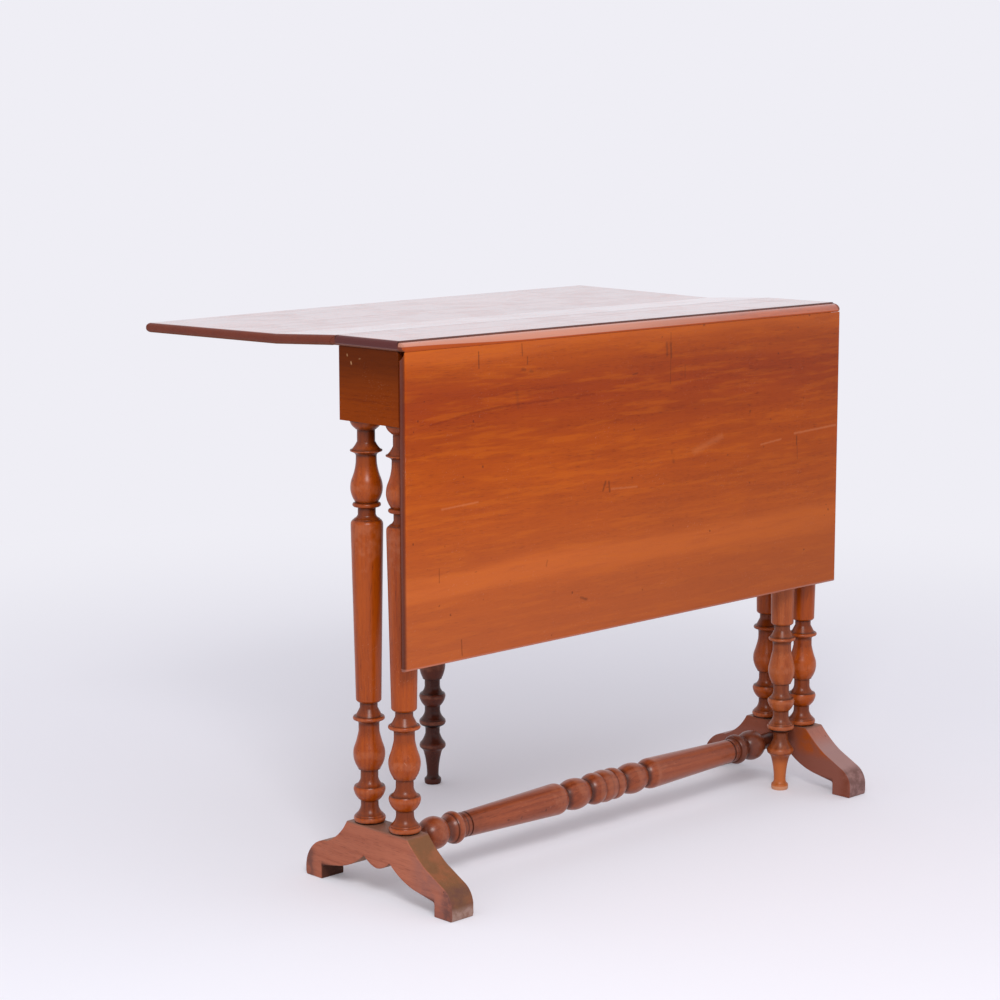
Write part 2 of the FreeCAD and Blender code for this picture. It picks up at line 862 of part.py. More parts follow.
def lower_foot_edges():
    """From the toe's pad back under the arch to the pendant in the middle."""
    pad_back = foot_span / 2 - toe_length
    bend = toe_back_round * (1 - quarter_middle)
    round_top = toe_back_height + toe_back_round
    lobe_reach = cusp_reach * quarter_middle
    lobe_height = pendant_height + (cusp_height - pendant_height) / 2
    return [
        line(across(foot_span / 2, 0), across(pad_back, 0)),
        line(across(pad_back, 0), across(pad_back, toe_back_height)),
        arc(across(pad_back, toe_back_height), across(pad_back - bend, round_top - bend),
            across(pad_back - toe_back_round, round_top)),
        line(across(pad_back - toe_back_round, round_top), across(heel_reach, heel_height)),
        arc(across(heel_reach, heel_height), across(arch_middle_reach, arch_middle_height),
            across(cusp_reach, cusp_height)),
        arc(across(cusp_reach, cusp_height), across(lobe_reach, lobe_height), across(0, pendant_height)),
    ]


def left_foot():
    edges = upper_foot_edges() + lower_foot_edges()
    outline = Part.__sortEdges__(edges + flipped(edges))
    start = FreeCAD.Vector(-half_length + foot_inset, 0, 0)
    foot = prism(outline, start, FreeCAD.Vector(foot_thickness, 0, 0))
    cuts = [column_tenon_hole(y, foot_height - lower_tenon_length - fit_clearance, lower_tenon_length)
            for y in (-column_spacing / 2, column_spacing / 2)]
    mouth = FreeCAD.Vector(-foot_inner_face, 0, stretcher_height)
    cuts.append(rod(stretcher_tenon_radius + fit_clearance, mouth, -X_AXIS,
                    stretcher_tenon_length + fit_clearance))
    return foot.cut(cuts)


def placed_column(end, side):
    base = foot_height - lower_tenon_length
    return moved(column(), x=end * column_line, y=side * column_spacing / 2, z=base)


# Every named piece

def hinge_nodes(side, fix, leaf):
    return {
        side + "_fixed_flaps": fix(fixed_flaps()),
        side + "_fixed_flap_screws": fix(flap_screws(fixed_screw_places)),
        side + "_hinge_pins": fix(hinge_pins()),
        side + "_leaf_flaps": leaf(leaf_flaps()),
        side + "_leaf_flap_screws": leaf(flap_screws(leaf_screw_places)),
    }


def gate_nodes():
    closed = {
        "fly_rail": closed_fly_rail(),
        "swing_leg": closed_swing_leg(),
        "gate_pegs": group(pegs()),
    }
    nodes = {}
    for name, shape in closed.items():
        nodes["rear_" + name] = open_gate(shape)
        nodes["front_" + name] = to_front(shape)
    return nodes


def top_nodes():
    holes = screw_holes_in_leaf()
    return {
        "centre_board": centre_board_with_screw_holes(),
        "front_leaf": hang_leaf(single_leaf().cut(holes)),
        "rear_leaf_inner_board": raise_leaf(cupped_inner_board().cut(holes)),
        "rear_leaf_outer_board": raise_leaf(cupped_outer_board()),
    }


def frame_nodes():
    screws = group(rail_screws())
    return {
        "left_end_block": left_end_block(),
        "right_end_block": mirrored_end(left_end_block()),
        "centre_rail": centre_rail(),
        "rear_fixed_rail": rear_fixed_rail(),
        "front_fixed_rail": to_front(rear_fixed_rail()),
        "rear_fixed_rail_screws": screws,
        "front_fixed_rail_screws": to_front(screws),
        "rear_gate_pin": rear_gate_pin(),
        "front_gate_pin": to_front(rear_gate_pin()),
        "top_screws": group(top_screws(top_screw_places())),
    }


def trestle_nodes():
    nodes = {
        "left_foot": left_foot(),
        "right_foot": mirrored_end(left_foot()),
        "stretcher": stretcher(),
    }
    for end_name, end in (("left", -1), ("right", 1)):
        for side_name, side in (("front", -1), ("rear", 1)):
            nodes[end_name + "_" + side_name + "_column"] = placed_column(end, side)
    return nodes


def write_steps():
    nodes = {}
    nodes.update(top_nodes())
    nodes.update(hinge_nodes("rear", fix_rear, raise_leaf))
    nodes.update(hinge_nodes("front", fix_front, hang_leaf))
    nodes.update(frame_nodes())
    nodes.update(gate_nodes())
    nodes.update(trestle_nodes())
    os.makedirs("parts", exist_ok=True)
    for name, shape in nodes.items():
        shape.exportStep("parts/" + name + ".step")
        print(name, len(shape.Solids), "solids", round(shape.Volume, 1), "mm3", shape.isValid())


write_steps()
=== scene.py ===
import json
import math

import bmesh
import bpy
from bpy.props import FloatProperty, FloatVectorProperty, IntProperty, PointerProperty
from mathutils import Matrix, Vector


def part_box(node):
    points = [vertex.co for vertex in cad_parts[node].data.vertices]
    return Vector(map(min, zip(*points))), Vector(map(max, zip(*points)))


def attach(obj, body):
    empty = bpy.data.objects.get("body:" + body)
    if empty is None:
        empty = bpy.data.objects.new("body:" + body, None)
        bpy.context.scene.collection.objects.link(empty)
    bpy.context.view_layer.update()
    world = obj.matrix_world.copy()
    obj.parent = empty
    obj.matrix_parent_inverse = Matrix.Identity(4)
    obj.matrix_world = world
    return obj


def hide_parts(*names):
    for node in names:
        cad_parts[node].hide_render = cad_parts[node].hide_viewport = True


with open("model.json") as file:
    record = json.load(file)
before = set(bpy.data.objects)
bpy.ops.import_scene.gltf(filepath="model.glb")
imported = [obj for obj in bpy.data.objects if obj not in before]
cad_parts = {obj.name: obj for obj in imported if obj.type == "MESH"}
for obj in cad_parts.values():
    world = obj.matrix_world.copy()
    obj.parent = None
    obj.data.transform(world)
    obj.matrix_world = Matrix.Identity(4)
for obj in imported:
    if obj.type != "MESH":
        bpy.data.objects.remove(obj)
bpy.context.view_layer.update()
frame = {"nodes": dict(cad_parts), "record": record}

bl_info = {
    "name": "Drop-leaf table",
    "version": (1, 0, 0),
    "blender": (4, 5, 0),
    "location": "3D View > Sidebar > Table",
    "description": "Dresses a drop-leaf table with turned trestles and swing legs",
    "category": "Add Mesh",
}

# X runs along the top, Y across it towards the raised leaf, Z up. Sizes of turned and sawn work are in
# millimetres, and the pieces are in metres.
MM = 0.001

body_of_node = {}
for body_name, body_nodes in frame["record"]["behaviour"]["bodies"].items():
    for node_name in body_nodes:
        body_of_node[node_name] = body_name


def srgb(red, green, blue):
    """A colour of 0 to 255 as Blender's linear numbers."""
    return tuple((level / 255 / 12.92) if level <= 10 else ((level / 255 + 0.055) / 1.055) ** 2.4
                 for level in (red, green, blue))


def colour_property(name, description, red, green, blue):
    return FloatVectorProperty(name=name, description=description, subtype="COLOR", size=3, min=0.0,
                               max=1.0, default=srgb(red, green, blue))


def size_property(name, description, millimetres):
    return FloatProperty(name=name, description=description, subtype="DISTANCE", unit="LENGTH",
                         default=millimetres * MM, min=0.0, precision=4)


def place_property(name, description, x, y, z):
    return FloatVectorProperty(name=name, description=description, subtype="TRANSLATION", unit="LENGTH",
                               size=3, default=(x, y, z))


def angle_property(name, description, degrees):
    return FloatProperty(name=name, description=description, subtype="ANGLE",
                         default=math.radians(degrees))


# What a user would change

class TurningSizes(bpy.types.PropertyGroup):
    column_radius: size_property("Column radius", "Girth of the columns at their widest rings", 20.4)
    leg_radius: size_property("Swing leg radius", "Girth of the swing legs at their widest rings", 19.4)
    neck_radius: size_property("Neck radius", "Girth of the necks between the rings", 11.3)
    stretcher_radius: size_property("Stretcher radius", "Girth of the stretcher at its rings", 21.5)
    arris: size_property("Softened edge", "How far sharp turned edges are rubbed round", 0.45)
    around: IntProperty(name="Facets", description="Facets round a turned piece", default=72, min=24,
                        max=128)


class SawnSizes(bpy.types.PropertyGroup):
    foot_arris: size_property("Foot edge", "How far the edges of the feet are rounded", 1.4)
    block_arris: size_property("Block edge", "How far the edges of the end blocks are rounded", 1.0)
    rail_arris: size_property("Rail edge", "How far the edges of the rails are rounded", 0.5)
    board_arris: size_property("Board edge", "How far sharp edges of the top are rubbed round", 0.35)
    leaf_twist: size_property("Leaf twist", "How far the raised leaf's corners are out of true", 3.2)


class WoodColours(bpy.types.PropertyGroup):
    top: colour_property("Top", "Polished wood of the centre board and the raised leaf", 170, 74, 30)
    leaf: colour_property("Hanging leaf", "Polished wood of the hanging leaf", 163, 68, 2)
    block: colour_property("End blocks", "Worn polish of the end blocks", 128, 52, 4)
    column: colour_property("Columns", "Turned wood of the columns", 155, 66, 4)
    front_leg: colour_property("Front swing leg", "Turned wood of the front swing leg", 162, 80, 34)
    rear_leg: colour_property("Rear swing leg", "Turned wood of the rear swing leg", 92, 38, 20)
    stretcher: colour_property("Stretcher", "Turned wood of the stretcher", 143, 67, 33)
    foot: colour_property("Feet", "Worn polish of the feet", 164, 94, 69)
    rail: colour_property("Rails", "Thinly stained wood under the top", 120, 74, 48)


class StageSettings(bpy.types.PropertyGroup):
    camera_place: place_property("Camera", "Where the camera stands", -2.39406, -2.26909, 0.99129)
    camera_pitch: angle_property("Camera pitch", "How far the camera looks up from straight down",
                                 90 - 9.104)
    camera_heading: angle_property("Camera heading", "Which way the camera looks", -44.131)
    camera_roll: angle_property("Camera roll", "How far the camera leans over", -0.089)
    lens: FloatProperty(name="Lens", description="Focal length", subtype="DISTANCE_CAMERA",
                        default=89.006)
    floor: colour_property("Floor", "Colour of the floor", 238, 237, 243)
    floor_radius: size_property("Floor radius", "How far the floor reaches", 42000)
    backdrop: colour_property("Backdrop", "Colour behind the table", 239, 238, 245)
    key_place: place_property("Key light", "Where the large soft light stands", -1.78, -1.88, 2.32)
    key_target: place_property("Key light target", "Where the large soft light points", 0.0, 0.1, 0.35)
    key_size: FloatProperty(name="Key light size", description="Side of the large soft light",
                            subtype="DISTANCE", unit="LENGTH", default=0.9)
    key_power: FloatProperty(name="Key light power", description="Power of the large soft light",
                             subtype="POWER", unit="POWER", default=51.0)
    sky_level: FloatProperty(name="Surrounding light", description="Level of the even light all round",
                             default=0.80, min=0.0)


class TableSettings(bpy.types.PropertyGroup):
    turning: PointerProperty(type=TurningSizes)
    sawn: PointerProperty(type=SawnSizes)
    colours: PointerProperty(type=WoodColours)
    stage: PointerProperty(type=StageSettings)


def settings():
    return bpy.context.scene.drop_leaf_table


# Node trees

class Sheet:
    """Places the nodes of one tree and joins them."""

    def __init__(self, tree):
        self.tree = tree

    def node(self, kind, *values, **choices):
        """Places a node and feeds its sockets in their order."""
        node = self.tree.nodes.new("ShaderNode" + kind)
        for name, value in choices.items():
            setattr(node, name, value)
        for socket, value in zip(node.inputs, values):
            self.feed(socket, value)
        return node

    def feed(self, socket, value):
        """Joins a socket to another one, or gives it a value of its own."""
        if isinstance(value, bpy.types.NodeSocket):
            self.tree.links.new(value, socket)
            return
        if socket.type == "RGBA" and len(value) == 3:
            value = (*value, 1.0)
        socket.default_value = value

    def calc(self, operation, *values, clamp=False):
        return self.node("Math", *values, operation=operation, use_clamp=clamp).outputs[0]

    def times(self, first, *others, clamp=False):
        """The product of masks or values."""
        for other in others:
            first = self.calc("MULTIPLY", first, other, clamp=clamp)
        return first

    def move(self, operation, *values):
        """A vector operation that gives a vector."""
        return self.node("VectorMath", *values, operation=operation).outputs["Vector"]

    def measure(self, operation, *values):
        """A vector operation that gives a number."""
        return self.node("VectorMath", *values, operation=operation).outputs["Value"]

    def parts(self, vector):
        return self.node("SeparateXYZ", vector).outputs

    def noise(self, vector, scale, detail=2.0, roughness=0.5, distortion=0.0):
        node = self.node("TexNoise")
        values = {"Vector": vector, "Scale": scale, "Detail": detail, "Roughness": roughness,
                  "Distortion": distortion}
        for name, value in values.items():
            self.feed(node.inputs[name], value)
        return node.outputs[0]

    def drawn_out(self, vector, scales, detail=2.0, roughness=0.5, distortion=0.0):
        """Noise with a scale of its own along each axis."""
        return self.noise(self.move("MULTIPLY", vector, scales), 1.0, detail, roughness, distortion)

    def ramp(self, value, low, high, at_low=0.0, at_high=1.0):
        """Goes smoothly from one value to another while its input goes from low to high."""
        node = self.node("MapRange", value, low, high, at_low, at_high, interpolation_type="SMOOTHSTEP")
        return node.outputs[0]

    def curve(self, value, points, kind="B_SPLINE"):
        """A curve through the points. They are given by rising value."""
        low, high = points[0][0], points[-1][0]
        place = self.node("MapRange", value, low, high)
        node = self.node("ValToRGB", place.outputs[0])
        node.color_ramp.interpolation = kind
        elements = node.color_ramp.elements
        elements[0].color = (points[0][1],) * 3 + (1.0,)
        elements[1].color = (points[-1][1],) * 3 + (1.0,)
        for at, level in points[1:-1]:
            elements.new((at - low) / (high - low)).color = (level, level, level, 1.0)
        return node.outputs[0]

    def mix(self, share, first, second, blend="MIX"):
        """Two colours mixed. A Mix node keeps its colour sockets at 6 and 7."""
        node = self.node("Mix", data_type="RGBA", blend_type=blend)
        for place, value in ((0, share), (6, first), (7, second)):
            self.feed(node.inputs[place], value)
        return node.outputs[2]

    def use(self, tree, **values):
        """Places a node group. Its outputs are read by name."""
        node = self.node("Group", node_tree=tree)
        for name, value in values.items():
            self.feed(node.inputs[name.replace("_", " ")], value)
        return node.outputs

    def join(self, share, first, second):
        """Two shaders mixed."""
        node = self.node("MixShader")
        self.feed(node.inputs[0], share)
        self.tree.links.new(first, node.inputs[1])
        self.tree.links.new(second, node.inputs[2])
        return node.outputs[0]

    def seen_directly(self):
        """1 for what the camera, a reflection or clear glass shows, and 0 for the light that falls."""
        rays = self.node("LightPath").outputs
        seen = self.calc("MAXIMUM", rays["Is Camera Ray"], rays["Is Glossy Ray"])
        return self.calc("MAXIMUM", seen, rays["Is Transmission Ray"])


KINDS = {"value": "NodeSocketFloat", "vector": "NodeSocketVector", "colour": "NodeSocketColor"}


def shared_group(name, takes, gives, fill):
    """A node group, built the first time that a material asks for it."""
    if name in bpy.data.node_groups:
        return bpy.data.node_groups[name]
    tree = bpy.data.node_groups.new(name, "ShaderNodeTree")
    for side, sockets in (("INPUT", takes), ("OUTPUT", gives)):
        for socket_name, kind in sockets.items():
            tree.interface.new_socket(name=socket_name, in_out=side, socket_type=KINDS[kind])
    given = tree.nodes.new("NodeGroupInput").outputs
    out = tree.nodes.new("NodeGroupOutput").inputs
    sheet = Sheet(tree)
    for socket_name, value in fill(sheet, given).items():
        sheet.feed(out[socket_name], value)
    return tree


def hardwood_group():
    """Figured hardwood with its grain along X: growth rings, ribbon figure, streaks and open pores."""
    return shared_group(
        "Hardwood",
        {"Vector": "vector", "Colour": "colour", "Ring width": "value", "Heart": "vector",
         "Wander": "value", "Contrast": "value"},
        {"Colour": "colour", "Height": "value"}, draw_hardwood)


def draw_hardwood(sheet, given):
    place = given["Vector"]
    strength = given["Contrast"]
    pulled = sheet.move("MULTIPLY", place, (0.12, 1.0, 1.0))
    lean = sheet.calc("SUBTRACT", sheet.noise(pulled, 7.0, 3.0), 0.5)
    ripple = sheet.calc("SUBTRACT", sheet.noise(pulled, 60.0), 0.5)
    lean = sheet.calc("ADD", lean, sheet.times(ripple, 0.12))
    from_heart = sheet.move("MULTIPLY", sheet.move("SUBTRACT", place, given["Heart"]), (0.0, 1.0, 1.0))
    depth = sheet.calc("MULTIPLY_ADD", lean, given["Wander"], sheet.measure("LENGTH", from_heart))
    turns = sheet.times(sheet.calc("DIVIDE", depth, given["Ring width"]), math.tau)
    ring = sheet.calc("MULTIPLY_ADD", sheet.calc("SINE", turns), 0.5, 0.5)
    ring_level = sheet.ramp(sheet.noise(pulled, 24.0, 1.0), 0.35, 0.65)
    ring = sheet.times(sheet.calc("POWER", ring, 2.2), ring_level)
    streaks = sheet.drawn_out(place, (28.0, 520.0, 520.0), 4.0, 0.62)
    bands = sheet.drawn_out(place, (5.0, 90.0, 90.0), 3.0, 0.55, 0.4)
    clouds = sheet.drawn_out(place, (4.0, 13.0, 13.0), 3.0, 0.55)
    pores = sheet.ramp(sheet.drawn_out(place, (70.0, 1700.0, 1700.0), 1.0), 0.60, 0.70)
    pores = sheet.times(pores, sheet.ramp(bands, 0.35, 0.6, 0.35, 1.0))
    # The tones are the given colour made lighter, deeper and redder.
    light = sheet.mix(1.0, given["Colour"], (1.28, 1.36, 1.40), "MULTIPLY")
    deep = sheet.mix(1.0, given["Colour"], (0.66, 0.50, 0.46), "MULTIPLY")
    dark = sheet.mix(1.0, given["Colour"], (0.34, 0.24, 0.26), "MULTIPLY")
    colour = sheet.mix(sheet.times(sheet.ramp(clouds, 0.42, 0.68), strength), given["Colour"], light)
    for mask, amount, tone in ((sheet.ramp(bands, 0.48, 0.70), 0.85, deep), (ring, 0.75, deep),
                               (sheet.ramp(streaks, 0.52, 0.74), 0.7, dark),
                               (sheet.ramp(streaks, 0.46, 0.24), 0.45, light)):
        colour = sheet.mix(sheet.times(mask, strength, amount), colour, tone)
    colour = sheet.mix(sheet.times(pores, 0.65), colour, dark)
    height = sheet.calc("MULTIPLY_ADD", streaks, 0.35, sheet.times(pores, -0.8))
    return {"Colour": colour, "Height": height}


def polish_group():
    """How old polish varies: smudges, hair scratches and small knocks."""
    return shared_group(
        "Old polish",
        {"Vector": "vector", "Roughness": "value", "Wear": "value"},
        {"Roughness": "value", "Scratches": "value", "Knocks": "value", "Haze": "value"}, draw_polish)


def draw_polish(sheet, given):
    place, wear = given["Vector"], given["Wear"]
    smudges = sheet.noise(place, 16.0, 3.0, 0.6, 0.6)
    hairs = []
    for turn, scales, low, high in (((0.3, 0.5, 0.4), (14.0, 900.0, 900.0), 0.69, 0.75),
                                    ((-0.4, -0.9, 0.8), (18.0, 1100.0, 1100.0), 0.71, 0.77)):
        turned = sheet.node("Mapping", place)
        turned.inputs["Rotation"].default_value = turn
        hairs.append(sheet.ramp(sheet.drawn_out(turned.outputs[0], scales, 1.0), low, high))
    scratches = sheet.times(sheet.calc("MAXIMUM", *hairs), sheet.ramp(smudges, 0.45, 0.62), wear)
    knocks = sheet.times(sheet.ramp(sheet.noise(place, 120.0, 1.0, 0.4), 0.78, 0.83), wear)
    swing = sheet.calc("MULTIPLY_ADD", sheet.ramp(smudges, 0.35, 0.70), 0.16, -0.05)
    fine = sheet.calc("MULTIPLY_ADD", sheet.noise(place, 110.0), 0.10, -0.05)
    rough = sheet.calc("MULTIPLY_ADD", sheet.calc("ADD", swing, fine), wear, given["Roughness"])
    rough = sheet.calc("MULTIPLY_ADD", scratches, 0.25, rough, clamp=True)
    return {"Roughness": rough, "Scratches": scratches, "Knocks": knocks, "Haze": smudges}


def hollow_group():
    """Where turned work is hollow, which takes painted shade, and where its rings are widest."""
    return shared_group(
        "Turned hollows",
        {"From axis": "vector", "Neck": "value", "Full": "value", "Vector": "vector"},
        {"Hollow": "value", "Widest": "value"}, draw_hollows)


def draw_hollows(sheet, given):
    patch = sheet.calc("MULTIPLY_ADD", sheet.noise(given["Vector"], 90.0, 3.0, 0.6), 0.004, -0.002)
    radius = sheet.calc("ADD", sheet.measure("LENGTH", given["From axis"]), patch)
    span = sheet.calc("SUBTRACT", given["Full"], given["Neck"])
    share = sheet.calc("DIVIDE", sheet.calc("SUBTRACT", radius, given["Neck"]), span)
    return {"Hollow": sheet.ramp(share, 0.55, 0.0), "Widest": sheet.ramp(share, 0.90, 1.04)}


def streak_group():
    """One soft-edged mark on a flat face, laid over the marks before it."""
    return shared_group(
        "Streak",
        {"Across": "value", "Up": "value", "Middle across": "value", "Middle up": "value",
         "Lean": "value", "Half length": "value", "Width": "value", "Ragged": "value",
         "Strength": "value", "Others": "value"},
        {"Mark": "value"}, draw_streak)


def draw_streak(sheet, given):
    across = sheet.calc("SUBTRACT", given["Across"], given["Middle across"])
    up = sheet.calc("SUBTRACT", given["Up"], given["Middle up"])
    cosine, sine = sheet.calc("COSINE", given["Lean"]), sheet.calc("SINE", given["Lean"])
    along = sheet.calc("MULTIPLY_ADD", across, cosine, sheet.times(up, sine))
    aside = sheet.calc("SUBTRACT", sheet.times(up, cosine), sheet.times(across, sine))
    beyond = sheet.calc("SUBTRACT", sheet.calc("ABSOLUTE", along), given["Half length"])
    beyond = sheet.calc("MAXIMUM", beyond, 0.0)
    away = sheet.calc("MULTIPLY_ADD", beyond, beyond, sheet.times(aside, aside))
    edge = sheet.times(given["Width"], given["Ragged"])
    share = sheet.calc("DIVIDE", sheet.calc("SQRT", away), edge)
    mark = sheet.times(sheet.ramp(share, 1.0, 0.0), given["Strength"])
    return {"Mark": sheet.calc("MAXIMUM", mark, given["Others"])}


def old_metal_group():
    """Old metal: tarnish in patches and fine file marks."""
    return shared_group(
        "Old metal",
        {"Vector": "vector", "Bright": "colour", "Tarnish": "colour", "Amount": "value"},
        {"Colour": "colour", "Roughness": "value", "Height": "value"}, draw_old_metal)


def draw_old_metal(sheet, given):
    patches = sheet.noise(given["Vector"], 90.0, 4.0, 0.65)
    marks = sheet.drawn_out(given["Vector"], (60.0, 1400.0, 1400.0))
    amount = sheet.calc("SUBTRACT", given["Amount"], 0.5)
    share = sheet.calc("ADD", sheet.ramp(patches, 0.30, 0.65), amount, clamp=True)
    return {"Colour": sheet.mix(share, given["Bright"], given["Tarnish"]),
            "Roughness": sheet.calc("MULTIPLY_ADD", share, 0.3, 0.32),
            "Height": sheet.calc("MULTIPLY_ADD", marks, 0.4, patches)}


# Materials

ALONG_X = (0.0, 0.0, 0.0)
ALONG_Y = (0.0, 0.0, math.radians(90))
ALONG_Z = (0.0, math.radians(90), 0.0)


def new_material(name):
    material = bpy.data.materials.new(name)
    material.use_nodes = True
    material.node_tree.nodes.clear()
    sheet = Sheet(material.node_tree)
    shader = sheet.node("BsdfPrincipled")
    output = sheet.node("OutputMaterial")
    sheet.tree.links.new(shader.outputs[0], output.inputs[0])
    return material, sheet, shader, output


class Wood:
    """A wood material under construction. Marks and stains are laid over it before it is finished."""

    def __init__(self, name, colour, grain, shift=(0.0, 0.0, 0.0), ring=0.009, heart=(0.0, 0.03, -0.12),
                 wander=0.05, contrast=0.6, roughness=0.35, wear=1.0, gloss=0.3, coat=0.0,
                 coat_roughness=0.06):
        self.material, self.sheet, self.shader, _ = new_material(name)
        self.shader.inputs["Specular IOR Level"].default_value = gloss
        self.shader.inputs["Coat Weight"].default_value = coat
        self.shader.inputs["Coat Roughness"].default_value = coat_roughness
        self.coat = coat
        coordinates = self.sheet.node("TexCoord").outputs
        self.place = coordinates["Object"]
        self.facing = coordinates["Normal"]
        along_grain = self.sheet.node("Mapping", self.place)
        along_grain.inputs["Rotation"].default_value = grain
        along_grain.inputs["Location"].default_value = shift
        wood = self.sheet.use(hardwood_group(), Vector=along_grain.outputs[0], Colour=colour,
                              Ring_width=ring, Heart=heart, Wander=wander, Contrast=contrast)
        polish = self.sheet.use(polish_group(), Vector=self.place, Roughness=roughness, Wear=wear)
        self.colour = wood["Colour"]
        self.height = wood["Height"]
        self.roughness = polish["Roughness"]
        self.scratches = polish["Scratches"]
        self.knocks = polish["Knocks"]
        self.haze = polish["Haze"]

    def stain(self, mask, colour, strength=1.0, blend="MIX"):
        share = self.sheet.times(mask, strength, clamp=True)
        self.colour = self.sheet.mix(share, self.colour, colour, blend)

    def roughen(self, mask, amount):
        self.roughness = self.sheet.calc("MULTIPLY_ADD", mask, amount, self.roughness, clamp=True)

    def sink(self, mask, amount):
        self.height = self.sheet.calc("MULTIPLY_ADD", mask, -amount, self.height)

    def dull(self, mask):
        """Takes the coat off where the mask is 1."""
        cover = self.sheet.calc("MULTIPLY_ADD", mask, -self.coat, self.coat, clamp=True)
        self.sheet.feed(self.shader.inputs["Coat Weight"], cover)

    def finish(self, relief=0.00008):
        """Joins everything to the shader. Relief is how deep the grain stands, in metres."""
        bump = self.sheet.node("Bump")
        bump.inputs["Strength"].default_value = 1.0
        bump.inputs["Distance"].default_value = relief
        self.sheet.feed(bump.inputs["Height"], self.height)
        for name, value in (("Normal", bump.outputs[0]), ("Base Color", self.colour),
                            ("Roughness", self.roughness)):
            self.sheet.feed(self.shader.inputs[name], value)
        return self.material


def worn(wood):
    """Hair scratches that catch the light, and small dark knocks."""
    wood.stain(wood.scratches, srgb(196, 140, 112), 0.35)
    wood.stain(wood.knocks, srgb(34, 16, 12), 0.8)
    wood.sink(wood.scratches, 0.5)
    wood.sink(wood.knocks, 2.0)


def end_grain(wood, start, full):
    """Dark, dry end grain on the rounded ends of a board. Gives its mask."""
    reach = wood.sheet.calc("ABSOLUTE", wood.sheet.parts(wood.place)[0])
    ends = wood.sheet.ramp(reach, start, full)
    wood.stain(ends, srgb(90, 36, 22), 0.85)
    wood.roughen(ends, 0.25)
    return ends


# The step of the rule joint, from the middle of the top.
JOINT_STEP = 0.0576


def joint_darkening(wood, strength):
    """A darker, rougher line in the step along a rule joint."""
    sheet = wood.sheet
    depth, height = sheet.parts(wood.place)[1:]
    away = sheet.calc("ABSOLUTE", sheet.calc("SUBTRACT", sheet.calc("ABSOLUTE", depth), JOINT_STEP))
    darkening = sheet.times(sheet.ramp(away, 0.0016, 0.0006), sheet.ramp(height, 0.7035, 0.7060))
    wood.stain(darkening, srgb(58, 34, 28), strength)
    wood.roughen(darkening, 0.3)


def bare_underside(wood, under):
    """The underside of a board was stained but never polished."""
    wood.stain(under, srgb(118, 68, 42), 0.75)
    wood.roughen(under, 0.45)


def top_wood():
    colours = settings().colours
    wood = Wood("Polished top", colours.top, ALONG_X, shift=(0.3, 0.1, 0.0), ring=0.014,
                heart=(0.0, 0.05, -0.30), wander=0.07, contrast=0.7, roughness=0.14, wear=0.5,
                gloss=0.2, coat=0.95)
    sheet = wood.sheet
    across, depth, height = sheet.parts(wood.place)
    ends = end_grain(wood, 0.4150, 0.4178)
    # The centre board's ends are darker, and carry a painted highlight along their lower edge.
    middle = sheet.times(sheet.ramp(sheet.calc("ABSOLUTE", depth), 0.0600, 0.0560), ends)
    wood.stain(middle, srgb(76, 34, 36), 0.8)
    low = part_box("centre_board")[0].z
    lower_edge_highlight = sheet.times(sheet.ramp(height, low + 0.0036, low + 0.0022), middle)
    wood.stain(lower_edge_highlight, srgb(150, 118, 116), 0.7)
    joint_darkening(wood, 0.8)
    # Along the front, a pale painted highlight lies on the nosing, over a lip of the hanging leaf's
    # colour, deeper at the left.
    edge = sheet.ramp(across, -0.20, -0.42, 0.6990, 0.7030)
    above = sheet.calc("SUBTRACT", height, edge)
    lip = sheet.times(sheet.ramp(depth, -0.0650, -0.0665), sheet.ramp(above, 0.0006, -0.0006))
    nosing_highlight = sheet.times(sheet.ramp(depth, -0.0588, -0.0600), sheet.ramp(above, -0.0006, 0.0006),
                         sheet.ramp(across, 0.30, -0.10, 0.3, 1.0))
    wood.stain(nosing_highlight, srgb(208, 146, 120), 0.6)
    wood.stain(lip, colours.leaf, 0.75)
    # The polish has gone from the edges and the underside, and thins along the grain.
    under = sheet.ramp(sheet.parts(wood.facing)[2], -0.35, -0.75)
    bare_underside(wood, under)
    long = sheet.drawn_out(wood.place, (3.0, 150.0, 150.0), 3.0, 0.6)
    faint = sheet.times(sheet.ramp(long, 0.50, 0.72), 0.30)
    smear = sheet.times(sheet.ramp(wood.haze, 0.42, 0.66), 0.08)
    thin = sheet.calc("MAXIMUM", sheet.calc("MAXIMUM", ends, lip), sheet.calc("ADD", faint, smear))
    wood.dull(sheet.calc("MAXIMUM", thin, under))
    worn(wood)
    return wood.finish(0.00004)


# Growth bands of the hanging leaf, from its lower edge up: height and lightness.
LEAF_BANDS = ((0.304, 0.50), (0.350, 0.44), (0.384, 0.60), (0.406, 0.80), (0.424, 0.54), (0.470, 0.48),
              (0.515, 0.54), (0.560, 0.50), (0.612, 0.40), (0.648, 0.42), (0.672, 0.50), (0.690, 0.72))

